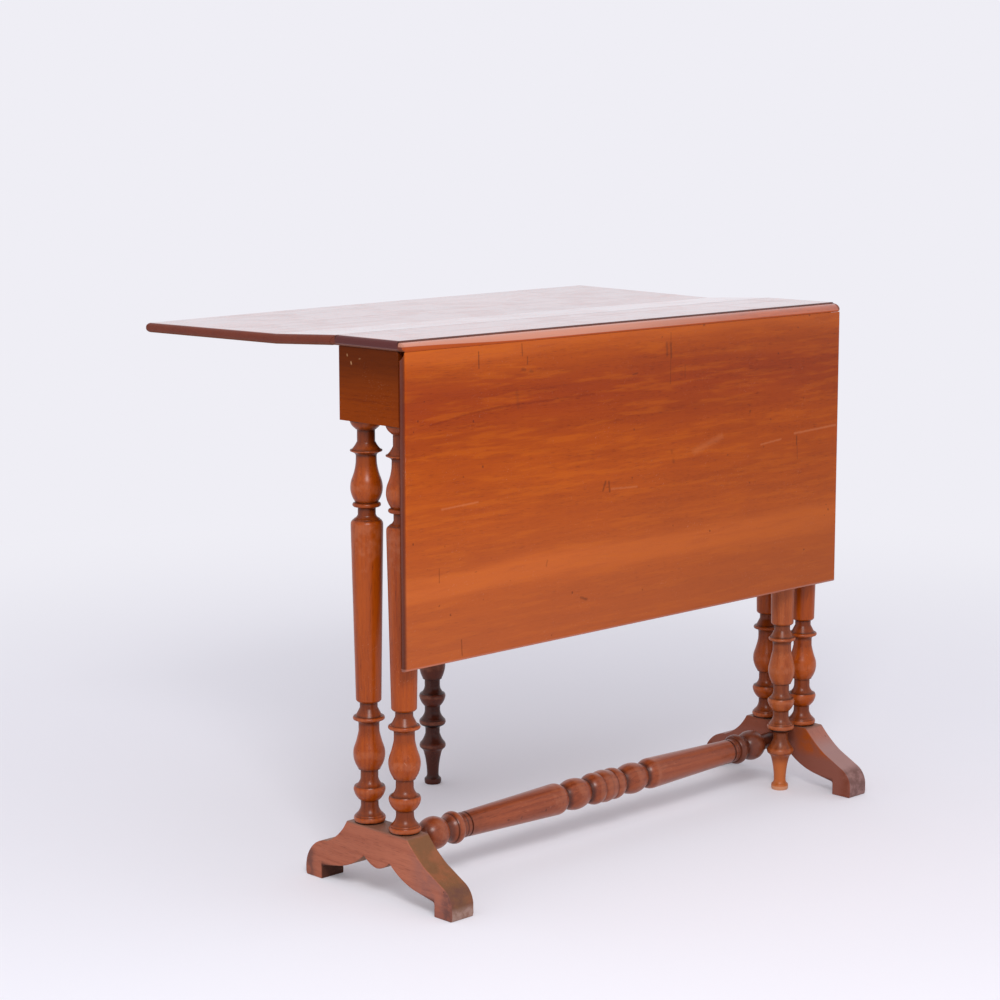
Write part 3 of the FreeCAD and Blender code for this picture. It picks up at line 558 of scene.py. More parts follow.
# Marks on it: x and z of both ends and width, in millimetres, and strength.
LEAF_LINES = (
    (-379, 605, -312, 614, 2.6, 0.45), (-312, 614, -243, 618.5, 2.8, 0.6),
    (-243, 618.5, -90, 620, 2.8, 0.4),
)
LEAF_SCRATCHES = (
    (-297, 689, -296.5, 669, 1.5, 0.9), (-222, 694, -221, 679, 1.4, 0.75),
    (-212, 677, -212, 668, 1.5, 0.7), (-221, 662, -216, 661, 3.2, 0.5),
    (-207, 659, -203, 658, 3.0, 0.45), (-231, 634, -228, 615, 5.0, 0.25),
    (57, 690, 57, 622, 1.5, 0.5), (49, 676, 50, 660, 3.6, 0.5), (57, 676, 58, 657, 3.2, 0.7),
    (86, 645, 86, 628, 1.3, 0.45), (-17, 640, -8, 641, 1.8, 0.6), (222, 570, 222.5, 571, 3.0, 0.7),
    (60, 531, 61, 529, 3.4, 0.35), (64, 517, 65, 516, 4.0, 0.45), (325, 526, 325, 514, 2.0, 0.8),
    (326, 514, 327, 494, 1.4, 0.5), (-68, 503, -73, 492, 2.6, 0.7), (-62, 502, -60, 489, 2.4, 0.75),
    (-114, 355, -103, 351, 2.8, 0.65), (-365, 426, -365, 409, 1.3, 0.6),
    (-328, 331, -327, 311, 1.7, 0.65), (-176, 412, -178, 405, 2.2, 0.4),
)
LEAF_PALE = (
    (247, 521.5, 290, 525, 2.2, 0.28), (320, 530.5, 413, 534, 2.4, 0.32),
    (108, 526, 162, 541, 8.0, 0.16), (-56, 492, -8, 490, 2.4, 0.22),
    (-360, 499.6, -299, 502, 2.2, 0.26),
)


def marks(sheet, across, up, places, ragged):
    """The strongest of several marks at each point of a face."""
    strongest = 0.0
    for start_x, start_z, end_x, end_z, width, strength in places:
        along = Vector((end_x - start_x, end_z - start_z)) * MM
        strongest = sheet.use(
            streak_group(), Across=across, Up=up, Middle_across=(start_x + end_x) / 2 * MM,
            Middle_up=(start_z + end_z) / 2 * MM, Lean=math.atan2(along.y, along.x),
            Half_length=along.length / 2, Width=width * MM, Ragged=ragged, Strength=strength,
            Others=strongest)["Mark"]
    return strongest


def hanging_leaf_wood():
    wood = Wood("Polished hanging leaf", settings().colours.leaf, ALONG_X, ring=0.020,
                heart=(0.1, 0.30, 0.30), wander=0.09, contrast=0.3, roughness=0.34, wear=0.6, gloss=0.0,
                coat=0.32, coat_roughness=0.08)
    sheet = wood.sheet
    across, _, height = sheet.parts(wood.place)
    facing = sheet.parts(wood.facing)[1]
    front = sheet.ramp(facing, -0.20, -0.60)
    back = sheet.ramp(facing, 0.35, 0.75)
    waves = sheet.calc("SUBTRACT", sheet.drawn_out(wood.place, (3.5, 40.0, 40.0), 3.0, 0.55), 0.5)
    band = sheet.curve(sheet.calc("MULTIPLY_ADD", waves, 0.045, height), LEAF_BANDS)
    wood.stain(sheet.ramp(band, 0.50, 0.90), srgb(206, 102, 34), 0.9)
    wood.stain(sheet.ramp(band, 0.52, 0.36), srgb(216, 178, 172), 0.9, "MULTIPLY")
    figure = sheet.drawn_out(wood.place, (11.0, 120.0, 120.0), 3.0, 0.6, 0.2)
    wood.stain(sheet.ramp(figure, 0.48, 0.66), srgb(200, 98, 2), 0.24)
    wood.stain(sheet.ramp(figure, 0.46, 0.30), srgb(140, 50, 14), 0.22)
    ragged = sheet.calc("MULTIPLY_ADD", sheet.noise(wood.place, 260.0), 1.4, 0.35)
    wood.stain(marks(sheet, across, height, LEAF_LINES, ragged), srgb(186, 134, 112), 0.9, "MULTIPLY")
    # It is paler towards its lower edge, and cooler and darker towards the right.
    wood.stain(sheet.ramp(height, 0.58, 0.30), srgb(176, 94, 54), 0.5)
    wood.stain(sheet.ramp(across, -0.32, 0.45), srgb(244, 240, 214), 1.0, "MULTIPLY")
    scratches = sheet.times(marks(sheet, across, height, LEAF_SCRATCHES, ragged), front)
    wood.stain(scratches, srgb(62, 28, 10), 0.72)
    wood.roughen(scratches, 0.3)
    pale = sheet.times(marks(sheet, across, height, LEAF_PALE, ragged), front)
    wood.stain(pale, srgb(206, 130, 86), 0.9)
    bare_underside(wood, back)
    wood.dull(back)
    end_grain(wood, 0.4178, 0.4203)
    joint_darkening(wood, 0.5)
    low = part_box("front_leaf")[0].z
    wood.stain(sheet.ramp(height, low + 0.0045, low + 0.002), srgb(186, 122, 102), 0.6)
    worn(wood)
    return wood.finish(0.00005)


# Chips on the left end block: y and z of both ends and width, in millimetres, and strength.
BLOCK_CHIPS = ((39.0, 685.4, 39.4, 687.0, 1.6, 0.7), (31.6, 676.0, 32.2, 678.0, 2.0, 0.8),
               (17.0, 683.0, 15.0, 683.4, 1.4, 0.35))


def end_block_wood():
    wood = Wood("Worn end blocks", settings().colours.block, ALONG_Y, ring=0.007, contrast=0.4,
                roughness=0.42, gloss=0.04)
    sheet = wood.sheet
    across, depth, height = sheet.parts(wood.place)
    # They are darker towards the top: painted shade under the top.
    wood.stain(sheet.ramp(height, 0.612, 0.692), srgb(66, 24, 4), 0.72)
    left_face = sheet.ramp(across, -0.4155, -0.4160)
    chips = sheet.times(marks(sheet, depth, height, BLOCK_CHIPS, 1.0), left_face)
    wood.stain(chips, srgb(196, 150, 104), 0.8)
    worn(wood)
    return wood.finish()


def rail_wood(name, grain):
    wood = Wood(name, settings().colours.rail, grain, ring=0.006, contrast=0.5, roughness=0.62,
                gloss=0.2)
    worn(wood)
    return wood.finish(0.00012)


# Dirt and painted shade in the hollows and quirks of the columns and legs: height in millimetres, and
# how dark.
LOW_DIRT_AND_SHADE = (
    (7.0, 0.0), (9.0, 0.8), (11.5, 0.6), (15.0, 0.1), (50.0, 0.0), (55.0, 0.45), (58.0, 0.1),
    (62.4, 0.1), (63.2, 0.6), (70.0, 0.4), (85.0, 0.5), (88.9, 1.0), (90.6, 1.0), (91.8, 0.1),
    (96.4, 0.0), (97.3, 0.9), (98.4, 0.2), (99.4, 0.8), (102.0, 0.5), (108.0, 0.4), (116.0, 0.45),
    (117.6, 0.7), (120.0, 0.05), (135.6, 0.0), (136.9, 1.0), (139.5, 0.5), (147.0, 0.25),
    (156.4, 0.35), (157.6, 0.9), (161.0, 0.1), (166.0, 0.0),
)
MIDDLE_DIRT_AND_SHADE = (
    (204.0, 0.0), (215.0, 0.15), (219.6, 0.8), (222.4, 0.5), (224.6, 0.0), (226.8, 0.1), (227.7, 1.0),
    (230.0, 0.5), (238.0, 0.35), (243.6, 0.5), (244.8, 0.9), (246.6, 0.2), (249.0, 0.0), (470.0, 0.0),
    (477.6, 0.0), (479.0, 0.9), (480.6, 0.5), (486.0, 0.3), (492.0, 0.4), (494.0, 0.8), (496.0, 0.1),
    (499.6, 0.3), (500.9, 1.0), (503.0, 0.3), (509.0, 0.0),
)
HIGH_DIRT_AND_SHADE = (
    (545.0, 0.0), (558.0, 0.2), (561.4, 0.9), (564.4, 0.5), (565.6, 0.0), (566.3, 0.2), (567.0, 0.9),
    (570.0, 0.45), (578.0, 0.35), (589.0, 0.4), (591.6, 0.9), (593.4, 0.4), (597.0, 0.1), (601.0, 0.2),
    (604.4, 1.0),
)


def turned_dirt_and_shade(wood):
    sheet = wood.sheet
    height = sheet.parts(wood.place)[2]
    wobble = sheet.calc("SUBTRACT", sheet.noise(wood.place, 180.0), 0.5)
    level = sheet.calc("MULTIPLY_ADD", wobble, 1.6, sheet.times(height, 1 / MM))
    below_block = sheet.ramp(level, 605.4, 604.6)
    darkening = 0.0
    # Dirt and painted shade in the hollows and quirks.
    for lines in (LOW_DIRT_AND_SHADE, MIDDLE_DIRT_AND_SHADE, HIGH_DIRT_AND_SHADE):
        darkening = sheet.calc("MAXIMUM", darkening, sheet.curve(level, lines, "LINEAR"))
    darkening = sheet.times(darkening, below_block)
    patches = sheet.ramp(sheet.noise(wood.place, 60.0, 3.0, 0.6), 0.25, 0.60, 0.55, 1.0)
    wood.stain(sheet.times(darkening, patches), srgb(44, 22, 17), 0.82)
    wood.roughen(darkening, 0.12)
    # Painted black shadow lines show where the turning stands on its foot and where it meets the block
    # above.
    shadow_on_foot = sheet.times(sheet.ramp(level, 91.2, 90.2), sheet.ramp(level, 86.5, 87.5))
    shadow_under_block = sheet.times(sheet.ramp(level, 602.6, 603.8), below_block)
    wood.stain(sheet.calc("MAXIMUM", shadow_on_foot, shadow_under_block), srgb(12, 6, 6), 0.9)


def turned_wood(name, colour, from_axis, neck, full, grain=ALONG_Z, shade=0.38, coat=0.5):
    """Turned and polished wood. The function from_axis gives the way out from the work's axis."""
    wood = Wood(name, colour, grain, shift=(0.0, 0.37, 0.21), ring=0.006, heart=(0.0, 0.06, 0.04),
                wander=0.02, roughness=0.36, gloss=0.04, coat=coat, coat_roughness=0.30)
    hollows = wood.sheet.use(hollow_group(), From_axis=from_axis(wood.sheet, wood.place), Neck=neck,
                             Full=full, Vector=wood.place)
    # Painted shade in the hollows, and paler wood on the widest rings.
    wood.stain(hollows["Hollow"], srgb(120, 96, 96), shade, "MULTIPLY")
    wood.stain(hollows["Widest"], srgb(186, 116, 84), 0.22)
    wood.roughen(hollows["Hollow"], 0.15)
    worn(wood)
    return wood


def middle_of(node_name):
    low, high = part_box(node_name)
    return (low + high) / 2


def from_upright_axis(node_name, folded=False):
    """The way out from a node's upright axis. Folded, it serves for all four columns alike."""
    middle = middle_of(node_name)

    def from_axis(sheet, place):
        if folded:
            place = sheet.move("ABSOLUTE", place)
        away = sheet.move("SUBTRACT", place, (middle.x, middle.y, 0.0))
        return sheet.move("MULTIPLY", away, (1.0, 1.0, 0.0))

    return from_axis


def from_stretcher_axis(sheet, place):
    away = sheet.move("SUBTRACT", place, (0.0, 0.0, middle_of("stretcher").z))
    return sheet.move("MULTIPLY", away, (0.0, 1.0, 1.0))


def column_wood():
    sizes = settings().turning
    wood = turned_wood("Turned columns", settings().colours.column,
                       from_upright_axis("right_rear_column", folded=True), sizes.neck_radius,
                       sizes.column_radius)
    turned_dirt_and_shade(wood)
    return wood.finish(0.00006)


def leg_wood(name, colour, node_name, bare_toe):
    sizes = settings().turning
    wood = turned_wood(name, colour, from_upright_axis(node_name), sizes.neck_radius, sizes.leg_radius)
    turned_dirt_and_shade(wood)
    if bare_toe:
        height = wood.sheet.parts(wood.place)[2]
        wood.stain(wood.sheet.ramp(height, 0.050, 0.036), srgb(206, 112, 52), 0.6)
        wood.stain(wood.sheet.ramp(height, 0.0068, 0.0045), srgb(206, 150, 116), 0.75)
    return wood.finish(0.00006)


# Radius of the stretcher's necks, in millimetres.
STRETCHER_NECK = 14.8

# Dirt in the grooves of the stretcher: place along it in millimetres, and how dark.
LEFT_GROOVES = (
    (-374.0, 0.6), (-345.0, 0.5), (-334.0, 0.7), (-330.0, 0.1), (-300.0, 0.1), (-296.8, 0.8),
    (-293.6, 0.5), (-287.0, 0.1), (-286.0, 0.3), (-285.3, 1.0), (-284.2, 0.9), (-283.4, 0.1),
    (-275.0, 0.1), (-273.2, 1.0), (-271.0, 0.3), (-267.0, 0.15), (-266.0, 0.9), (-264.6, 0.7),
    (-263.8, 0.1), (-259.6, 0.2), (-258.6, 1.0), (-257.2, 1.0), (-256.0, 0.1), (-250.0, 0.0),
    (-82.0, 0.0), (-77.6, 0.9), (-74.8, 0.7), (-70.0, 0.1), (-40.0, 0.0),
)
RIGHT_GROOVES = (
    (-40.0, 0.0), (-36.0, 0.1), (-32.2, 0.9), (-29.6, 0.8), (-26.0, 0.1), (-10.0, 0.2), (-9.0, 0.8),
    (-7.6, 0.1), (2.0, 0.1), (3.0, 0.8), (4.2, 0.1), (14.0, 0.1), (15.0, 0.8), (16.4, 0.1), (34.0, 0.1),
    (36.6, 0.9), (38.6, 0.8), (42.0, 0.1), (79.0, 0.1), (81.8, 0.9), (84.2, 0.8), (88.0, 0.0),
    (262.0, 0.0), (265.0, 1.0), (267.0, 1.0), (268.4, 0.1), (272.4, 0.9), (274.0, 0.2), (277.0, 0.9),
    (300.0, 0.8), (374.0, 0.6),
)

# Pits on the front of the stretcher: x and z of both ends and width, in millimetres, and strength.
STRETCHER_PITS = ((-196.6, 60.6, -195.0, 60.6, 2.0, 0.8), (-172.0, 58.0, -171.0, 60.0, 2.2, 0.7),
                  (-127.5, 59.4, -127.5, 61.4, 2.0, 0.95))


def stretcher_wood():
    wood = turned_wood("Turned stretcher", settings().colours.stretcher, from_stretcher_axis,
                       STRETCHER_NECK * MM, settings().turning.stretcher_radius, grain=ALONG_X,
                       shade=0.5, coat=0.7)
    sheet = wood.sheet
    across, depth, height = sheet.parts(wood.place)
    along = sheet.times(across, 1 / MM)
    left = sheet.times(sheet.curve(along, LEFT_GROOVES, "LINEAR"), sheet.ramp(along, -39.0, -41.0))
    right = sheet.times(sheet.curve(along, RIGHT_GROOVES, "LINEAR"), sheet.ramp(along, -41.0, -39.0))
    grooves = sheet.calc("MAXIMUM", left, right)
    wood.stain(grooves, srgb(44, 20, 16), 0.72)
    wood.roughen(grooves, 0.12)
    front = sheet.ramp(depth, 0.0, -0.004)
    pits = sheet.times(marks(sheet, across, height, STRETCHER_PITS, 1.0), front)
    wood.stain(pits, srgb(58, 26, 16), 0.8)
    wood.sink(pits, 3.0)
    return wood.finish(0.00006)


# Cracks on the left foot: y and z of both ends and width, in millimetres, and strength.
FOOT_CRACKS = ((-100.5, 56.4, -111.4, 49.9, 1.0, 0.6), (-111.4, 49.9, -120.4, 45.2, 1.1, 0.85),
               (-86.0, 60.8, -97.8, 54.6, 0.8, 0.4))


def foot_wood():
    wood = Wood("Worn feet", settings().colours.foot, ALONG_Y, shift=(0.0, 0.2, 0.0), ring=0.007,
                contrast=0.45, roughness=0.45, gloss=0.16)
    sheet = wood.sheet
    across, depth, height = sheet.parts(wood.place)
    reach = sheet.calc("ABSOLUTE", across)
    width = sheet.calc("ABSOLUTE", depth)
    inner_face, outer_face = (corner.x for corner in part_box("right_foot"))
    left = sheet.ramp(across, 0.05, -0.05)
    right = sheet.ramp(across, -0.05, 0.05)
    mottle = sheet.ramp(sheet.noise(wood.place, 75.0, 4.0, 0.65), 0.34, 0.62, 0.35, 1.0)
    # The front arm of the left foot is greyer on its outer face.
    outer = sheet.times(sheet.ramp(reach, outer_face - 0.0010, outer_face - 0.0003), left)
    arm = sheet.times(sheet.ramp(depth, -0.052, -0.088), outer)
    wood.stain(sheet.times(arm, mottle), srgb(118, 84, 82), 0.45)
    # The sawn edges are brown on the left foot and grey on the right one.
    edges = sheet.ramp(reach, outer_face - 0.0006, outer_face - 0.0014)
    patches = sheet.ramp(sheet.noise(wood.place, 42.0, 4.0, 0.6), 0.34, 0.60, 0.25, 1.0)
    wood.stain(sheet.times(edges, left), srgb(138, 84, 50), 0.7)
    wood.stain(sheet.times(edges, left, patches), srgb(110, 78, 50), 0.75)
    low_down = sheet.ramp(height, 0.080, 0.060, 0.35, 1.0)
    wood.stain(sheet.times(edges, low_down, right), srgb(156, 124, 120), 0.85)
    wood.stain(sheet.ramp(height, 0.0862, 0.0880), srgb(128, 88, 72), 0.8)
    # The toes are dark, with a pale rubbed edge on the left foot.
    toes = sheet.times(sheet.ramp(width, 0.116, 0.130), sheet.ramp(height, 0.046, 0.034))
    wood.stain(sheet.times(toes, mottle), srgb(92, 58, 52), 0.75)
    pale = sheet.times(sheet.ramp(width, 0.126, 0.134), sheet.ramp(height, 0.019, 0.010), edges, left)
    wood.stain(sheet.times(pale, mottle), srgb(168, 138, 126), 0.8)
    # The inner faces are redder, and polished high on the right foot.
    inside = sheet.ramp(reach, inner_face + 0.0014, inner_face + 0.0006)
    wood.stain(inside, srgb(124, 56, 28), 0.75)
    polished = sheet.times(sheet.ramp(height, 0.046, 0.060), inside, right)
    polished = sheet.times(polished, sheet.ramp(depth, -0.030, -0.058), mottle)
    wood.stain(polished, srgb(160, 72, 8), 0.85)
    # Painted shade on the inner faces behind the pads.
    shade_behind_pads = sheet.times(sheet.ramp(width, 0.1088, 0.1070), sheet.ramp(height, 0.026, 0.018))
    wood.stain(shade_behind_pads, srgb(56, 26, 22), 0.85)
    cracks = sheet.times(marks(sheet, depth, height, FOOT_CRACKS, 1.0), outer)
    wood.stain(cracks, srgb(58, 32, 24), 0.85)
    worn(wood)
    return wood.finish(0.0001)


def peg_wood():
    return Wood("Dry pegs", srgb(128, 92, 64), ALONG_Y, ring=0.002, contrast=0.4, roughness=0.7,
                gloss=0.2).finish()


def old_metal(name, bright, tarnish, amount):
    material, sheet, shader, _ = new_material(name)
    shader.inputs["Metallic"].default_value = 1.0
    place = sheet.node("TexCoord").outputs["Object"]
    metal = sheet.use(old_metal_group(), Vector=place, Bright=bright, Tarnish=tarnish, Amount=amount)
    bump = sheet.node("Bump")
    bump.inputs["Distance"].default_value = 0.00004
    sheet.feed(bump.inputs["Height"], metal["Height"])
    sheet.feed(shader.inputs["Normal"], bump.outputs[0])
    sheet.feed(shader.inputs["Base Color"], metal["Colour"])
    sheet.feed(shader.inputs["Roughness"], metal["Roughness"])
    return material


# Shaping

# How far turned work goes into what it stands on, in millimetres.
TENON = 0.3
# The square block on a swing leg, and the pegs that stand proud of it, in metres.
LEG_BLOCK = 36.0 * MM
PEG_RADIUS = 3.5 * MM
PEG_PROUD = 0.3 * MM
# How far the rear leg stands open, and its rail with it.
OPEN_LEG = math.radians(-93.2)
QUARTER_TURN = math.radians(90)
# Points nearer to each other than this are one point, in metres.
SAME_POINT = 1e-6
# Edges are rubbed round where their faces meet at more than this.
SHARP_EDGE = math.radians(32)


class Outline:
    """A chain of edges drawn point by point in a plane of a bmesh, in millimetres."""

    def __init__(self, bm, across, up, start):
        self.bm = bm
        self.across = Vector(across)
        self.up = Vector(up)
        self.at = Vector(start)
        self.last = bm.verts.new(self.spot(self.at))

    def spot(self, point):
        return (self.across * point[0] + self.up * point[1]) * MM

    def line(self, end):
        made = bmesh.ops.extrude_vert_indiv(self.bm, verts=[self.last])
        self.last = made["verts"][0]
        self.at = Vector(end)
        self.last.co = self.spot(self.at)

    def arc(self, middle, end, spacing=1.6):
        """An arc through a middle point, made by spinning the last vertex round its centre."""
        start, middle, end = self.at, Vector(middle), Vector(end)
        centre = circle_centre(start, middle, end)
        if centre is None:
            self.line(end)
            return
        first, second, third = start - centre, middle - centre, end - centre
        turn = signed_angle(first, second) + signed_angle(second, third)
        steps = max(4, math.ceil(abs(turn) * first.length / spacing))
        made = bmesh.ops.spin(self.bm, geom=[self.last], cent=self.spot(centre),
                              axis=self.across.cross(self.up), angle=turn, steps=steps)
        self.last = [item for item in made["geom_last"] if isinstance(item, bmesh.types.BMVert)][0]
        self.at = end
        self.last.co = self.spot(end)


def circle_centre(first, second, third):
    """The centre of the circle through three points, or None where they lie on a line."""
    a, b = second - first, third - first
    cross = 2 * (a.x * b.y - a.y * b.x)
    if abs(cross) < 1e-6:
        return None
    x = (b.y * a.length_squared - a.y * b.length_squared) / cross
    y = (a.x * b.length_squared - b.x * a.length_squared) / cross
    return first + Vector((x, y))


def signed_angle(start, end):
    return math.atan2(start.x * end.y - start.y * end.x, start.dot(end))


class Turning(Outline):
    """The outline of a turned piece, member by member along its axis. Points are (radius, height)."""

    def __init__(self, bm, radius, height=0.0):
        super().__init__(bm, (1, 0, 0), (0, 0, 1), (0.0, height))
        self.line((radius, height))

    def straight(self, length, radius):
        self.line((radius, self.at.y + length))

    def step(self, radius):
        self.line((radius, self.at.y))

    def curve(self, length, radius, middle):
        """An arc to a radius, by way of the radius halfway."""
        height = self.at.y
        self.arc((middle, height + length / 2), (radius, height + length))

    def cove(self, length, radius):
        hollow = abs(self.at.x - radius) * 0.24
        self.curve(length, radius, (self.at.x + radius) / 2 - hollow)

    def member(self, length, start, end, middle):
        """A member with its radius at both ends. One with no middle radius is straight."""
        if abs(self.at.x - start) > 1e-4:
            self.step(start)
        if middle is None:
            self.straight(length, end)
        else:
            self.curve(length, end, middle)

    def close(self):
        self.line((0.0, self.at.y))


def spin_round(bm, around):
    """Turns the outline once round the Z axis."""
    bmesh.ops.spin(bm, geom=bm.verts[:] + bm.edges[:], cent=(0, 0, 0), axis=(0, 0, 1), angle=math.tau,
                   steps=around, use_merge=True)
    bmesh.ops.remove_doubles(bm, verts=bm.verts, dist=SAME_POINT)


def base_ring(turning, girth):
    """The ring on the foot, in two tiers."""
    turning.curve(8.4, girth - 0.9, girth)
    turning.step(girth - 2.0)
    turning.curve(2.4, girth - 3.2, girth - 2.3)


def rim(turning, girth, edge_length, top_radius):
    """The underside and the edge of a collar, out from the vase's neck."""
    turning.cove(3.0, 14.4)
    turning.curve(2.6, girth - 0.7, girth - 3.9)
    turning.curve(edge_length, top_radius, girth)


def lower_members(turning, girth, neck):
    """From the base ring to the long taper: two collars, a vase, a rim and a cap."""
    turning.cove(11.4, neck)
    turning.straight(6.0, neck)
    turning.curve(14.9, girth, girth - 2.5)
    turning.curve(4.9, girth - 1.5, girth - 0.3)
    turning.step(girth - 2.5)
    turning.cove(10.4, neck)
    turning.straight(9.8, neck)
    turning.curve(1.2, 14.0, 12.2)
    turning.straight(1.2, 14.2)
    turning.curve(18.6, girth, girth - 1.6)
    turning.curve(10.0, girth - 1.6, girth - 0.35)
    turning.curve(20.0, 13.3, 15.6)
    turning.straight(9.4, 13.2)
    rim(turning, girth, 4.6, girth - 1.8)
    turning.step(17.0)
    turning.curve(10.8, neck, 14.0)
    turning.straight(6.4, neck)
    turning.curve(3.5, 16.2, 14.8)


def upper_members(turning, girth, neck):
    """From the top of the long taper to the block. They are UPPER_LENGTH long."""
    turning.straight(5.0, girth)
    turning.curve(6.2, 17.4, girth - 0.5)
    turning.step(16.3)
    turning.straight(1.2, 16.3)
    turning.curve(5.4, neck, 12.7)
    turning.straight(7.9, neck)
    turning.cove(1.8, 14.8)
    turning.curve(5.4, 15.6, 18.0)
    turning.step(14.1)
    turning.straight(0.8, 14.4)
    turning.curve(17.1, girth, girth - 1.6)
    turning.curve(12.3, girth - 2.0, girth - 0.45)
    turning.curve(21.2, 13.2, 14.9)
    turning.straight(7.4, 13.0)
    rim(turning, girth, 2.2, girth - 0.7)
    turning.step(girth - 1.9)
    turning.curve(10.4, neck, 14.3)
    turning.straight(14.2, neck)
    turning.curve(1.2, 13.2, 11.9)
    turning.straight(0.8, 13.6)
    turning.curve(8.4, girth - 0.5, 18.0)
    turning.curve(2.8, girth - 1.2, girth)


UPPER_LENGTH = 136.7
TAPER_PARTS = 8


def column_members(turning, girth, neck, top, tenon):
    """What columns and swing legs have in common, up to the block and a tenon's length into it."""
    base_ring(turning, girth)
    lower_members(turning, girth, neck)
    start, end = turning.at.copy(), Vector((girth, top - UPPER_LENGTH))
    for part in range(1, TAPER_PARTS + 1):
        turning.line(start.lerp(end, part / TAPER_PARTS))
    upper_members(turning, girth, neck)
    turning.straight(tenon, girth - 1.2)
    turning.close()


def set_in_place(bm, middle, angle, axis, verts=None):
    """Turns the work round one axis and sets its middle where it belongs."""
    verts = verts or bm.verts[:]
    bmesh.ops.rotate(bm, verts=verts, cent=(0, 0, 0), matrix=Matrix.Rotation(angle, 3, axis))
    bmesh.ops.translate(bm, verts=verts, vec=middle)
    bmesh.ops.recalc_face_normals(bm, faces=bm.faces)


def make_piece(bm, name, material, node_name, arris=0.0):
    """Gives the finished mesh an object that stands for its CAD node and moves with its body."""
    for face in bm.faces:
        face.smooth = True
    mesh = bpy.data.meshes.new(name)
    bm.to_mesh(mesh)
    bm.free()
    mesh.materials.append(material)
    piece = bpy.data.objects.new(name, mesh)
    bpy.context.collection.objects.link(piece)
    if arris:
        soften = piece.modifiers.new("Softened edges", "BEVEL")
        soften.width = arris
        soften.segments = 2
        soften.limit_method = "ANGLE"
        soften.angle_limit = SHARP_EDGE
        level = piece.modifiers.new("Flat faces stay flat", "WEIGHTED_NORMAL")
        level.keep_sharp = True
    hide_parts(node_name)
    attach(piece, body_of_node[node_name])


def merged_copy(node_name):
    """A CAD node's mesh as one joined surface without its flat faces' inner edges."""
    bm = bmesh.new()
    bm.from_mesh(frame["nodes"][node_name].data)
    bmesh.ops.remove_doubles(bm, verts=bm.verts, dist=2 * SAME_POINT)
    bmesh.ops.dissolve_limit(bm, angle_limit=math.radians(0.5), verts=bm.verts, edges=bm.edges)
    return bm


def worn_copy(node_name, material, arris):
    make_piece(merged_copy(node_name), node_name + "_worn", material, node_name, arris)


def finish_nodes(ending, material):
    """Gives a material to every CAD node whose name ends in this way."""
    for name, node in frame["nodes"].items():
        if name.endswith(ending):
            for place in node.material_slots:
                place.material = material


# Operators

class TABLE_OT_top(bpy.types.Operator):
    """Makes the centre board and both leaves"""
    bl_idname = "table.top"
    bl_label = "Top and leaves"

    def execute(self, context):
        arris = settings().sawn.board_arris
        material = top_wood()
        leaf_material = hanging_leaf_wood()
        make_piece(merged_copy("centre_board"), "top_centre_board", material, "centre_board", arris)
        make_piece(self.hanging_leaf(), "top_hanging_leaf", leaf_material, "front_leaf")
        make_piece(merged_copy("rear_leaf_inner_board"), "top_raised_leaf_inner", material,
                   "rear_leaf_inner_board", arris)
        make_piece(self.twisted_board("rear_leaf_outer_board"), "top_raised_leaf_outer", material,
                   "rear_leaf_outer_board", arris)
        return {"FINISHED"}

    def hanging_leaf(self):
        """The thin edge of the leaf's cove laps up over the quarter round of the centre board."""
        bm = merged_copy("front_leaf")
        top = max(vert.co.z for vert in bm.verts)
        thin_edge = [vert for vert in bm.verts if vert.co.z > top - 0.4 * MM]
        bmesh.ops.translate(bm, verts=thin_edge, vec=(0.0, 0.0, 0.3 * MM))
        return bm

    def twisted_board(self, node_name):
        """The outer board of the raised leaf is out of true, and more at its left corner."""
        bm = merged_copy(node_name)
        low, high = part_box(node_name)
        lengthwise = [edge for edge in bm.edges
                      if abs(edge.verts[0].co.x - edge.verts[1].co.x) > high.x]
        bmesh.ops.subdivide_edges(bm, edges=lengthwise, cuts=8)
        for vert in bm.verts:
            share = (vert.co.y - low.y) / (high.y - low.y)
            out = vert.co.x / high.x
            if out < 0:
                out *= 1 - 0.45 * out
            vert.co.z += settings().sawn.leaf_twist * share * out
        return bm


class TABLE_OT_end_blocks(bpy.types.Operator):
    """Makes the two end blocks under the top"""
    bl_idname = "table.end_blocks"
    bl_label = "End blocks"

    def execute(self, context):
        material = end_block_wood()
        for node_name in ("left_end_block", "right_end_block"):
            worn_copy(node_name, material, settings().sawn.block_arris)
        return {"FINISHED"}


class TABLE_OT_rails(bpy.types.Operator):
    """Makes the centre rail, the fixed rails and the swinging rails"""
    bl_idname = "table.rails"
    bl_label = "Rails"

    def execute(self, context):
        along = rail_wood("Stained rails", ALONG_X)
        across = rail_wood("Stained open rail", ALONG_Y)
        for node_name in ("centre_rail", "front_fixed_rail", "rear_fixed_rail", "front_fly_rail"):
            worn_copy(node_name, along, settings().sawn.rail_arris)
        worn_copy("rear_fly_rail", across, settings().sawn.rail_arris)
        return {"FINISHED"}


class TABLE_OT_columns(bpy.types.Operator):
    """Turns the four columns"""
    bl_idname = "table.columns"
    bl_label = "Columns"

    def execute(self, context):
        sizes = settings().turning
        material = column_wood()
        girth, neck = sizes.column_radius / MM, sizes.neck_radius / MM
        foot_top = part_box("left_foot")[1].z / MM
        block_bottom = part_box("left_end_block")[0].z / MM
        for node_name in ("left_front_column", "left_rear_column", "right_front_column",
                          "right_rear_column"):
            bm = bmesh.new()
            turning = Turning(bm, girth - 2.8, foot_top - TENON)
            turning.straight(TENON, girth - 2.8)
            column_members(turning, girth, neck, block_bottom, TENON)
            spin_round(bm, sizes.around)
            middle = middle_of(node_name)
            set_in_place(bm, (middle.x, middle.y, 0.0), 0.0, "Z")
            make_piece(bm, node_name + "_turned", material, node_name, sizes.arris)
        return {"FINISHED"}


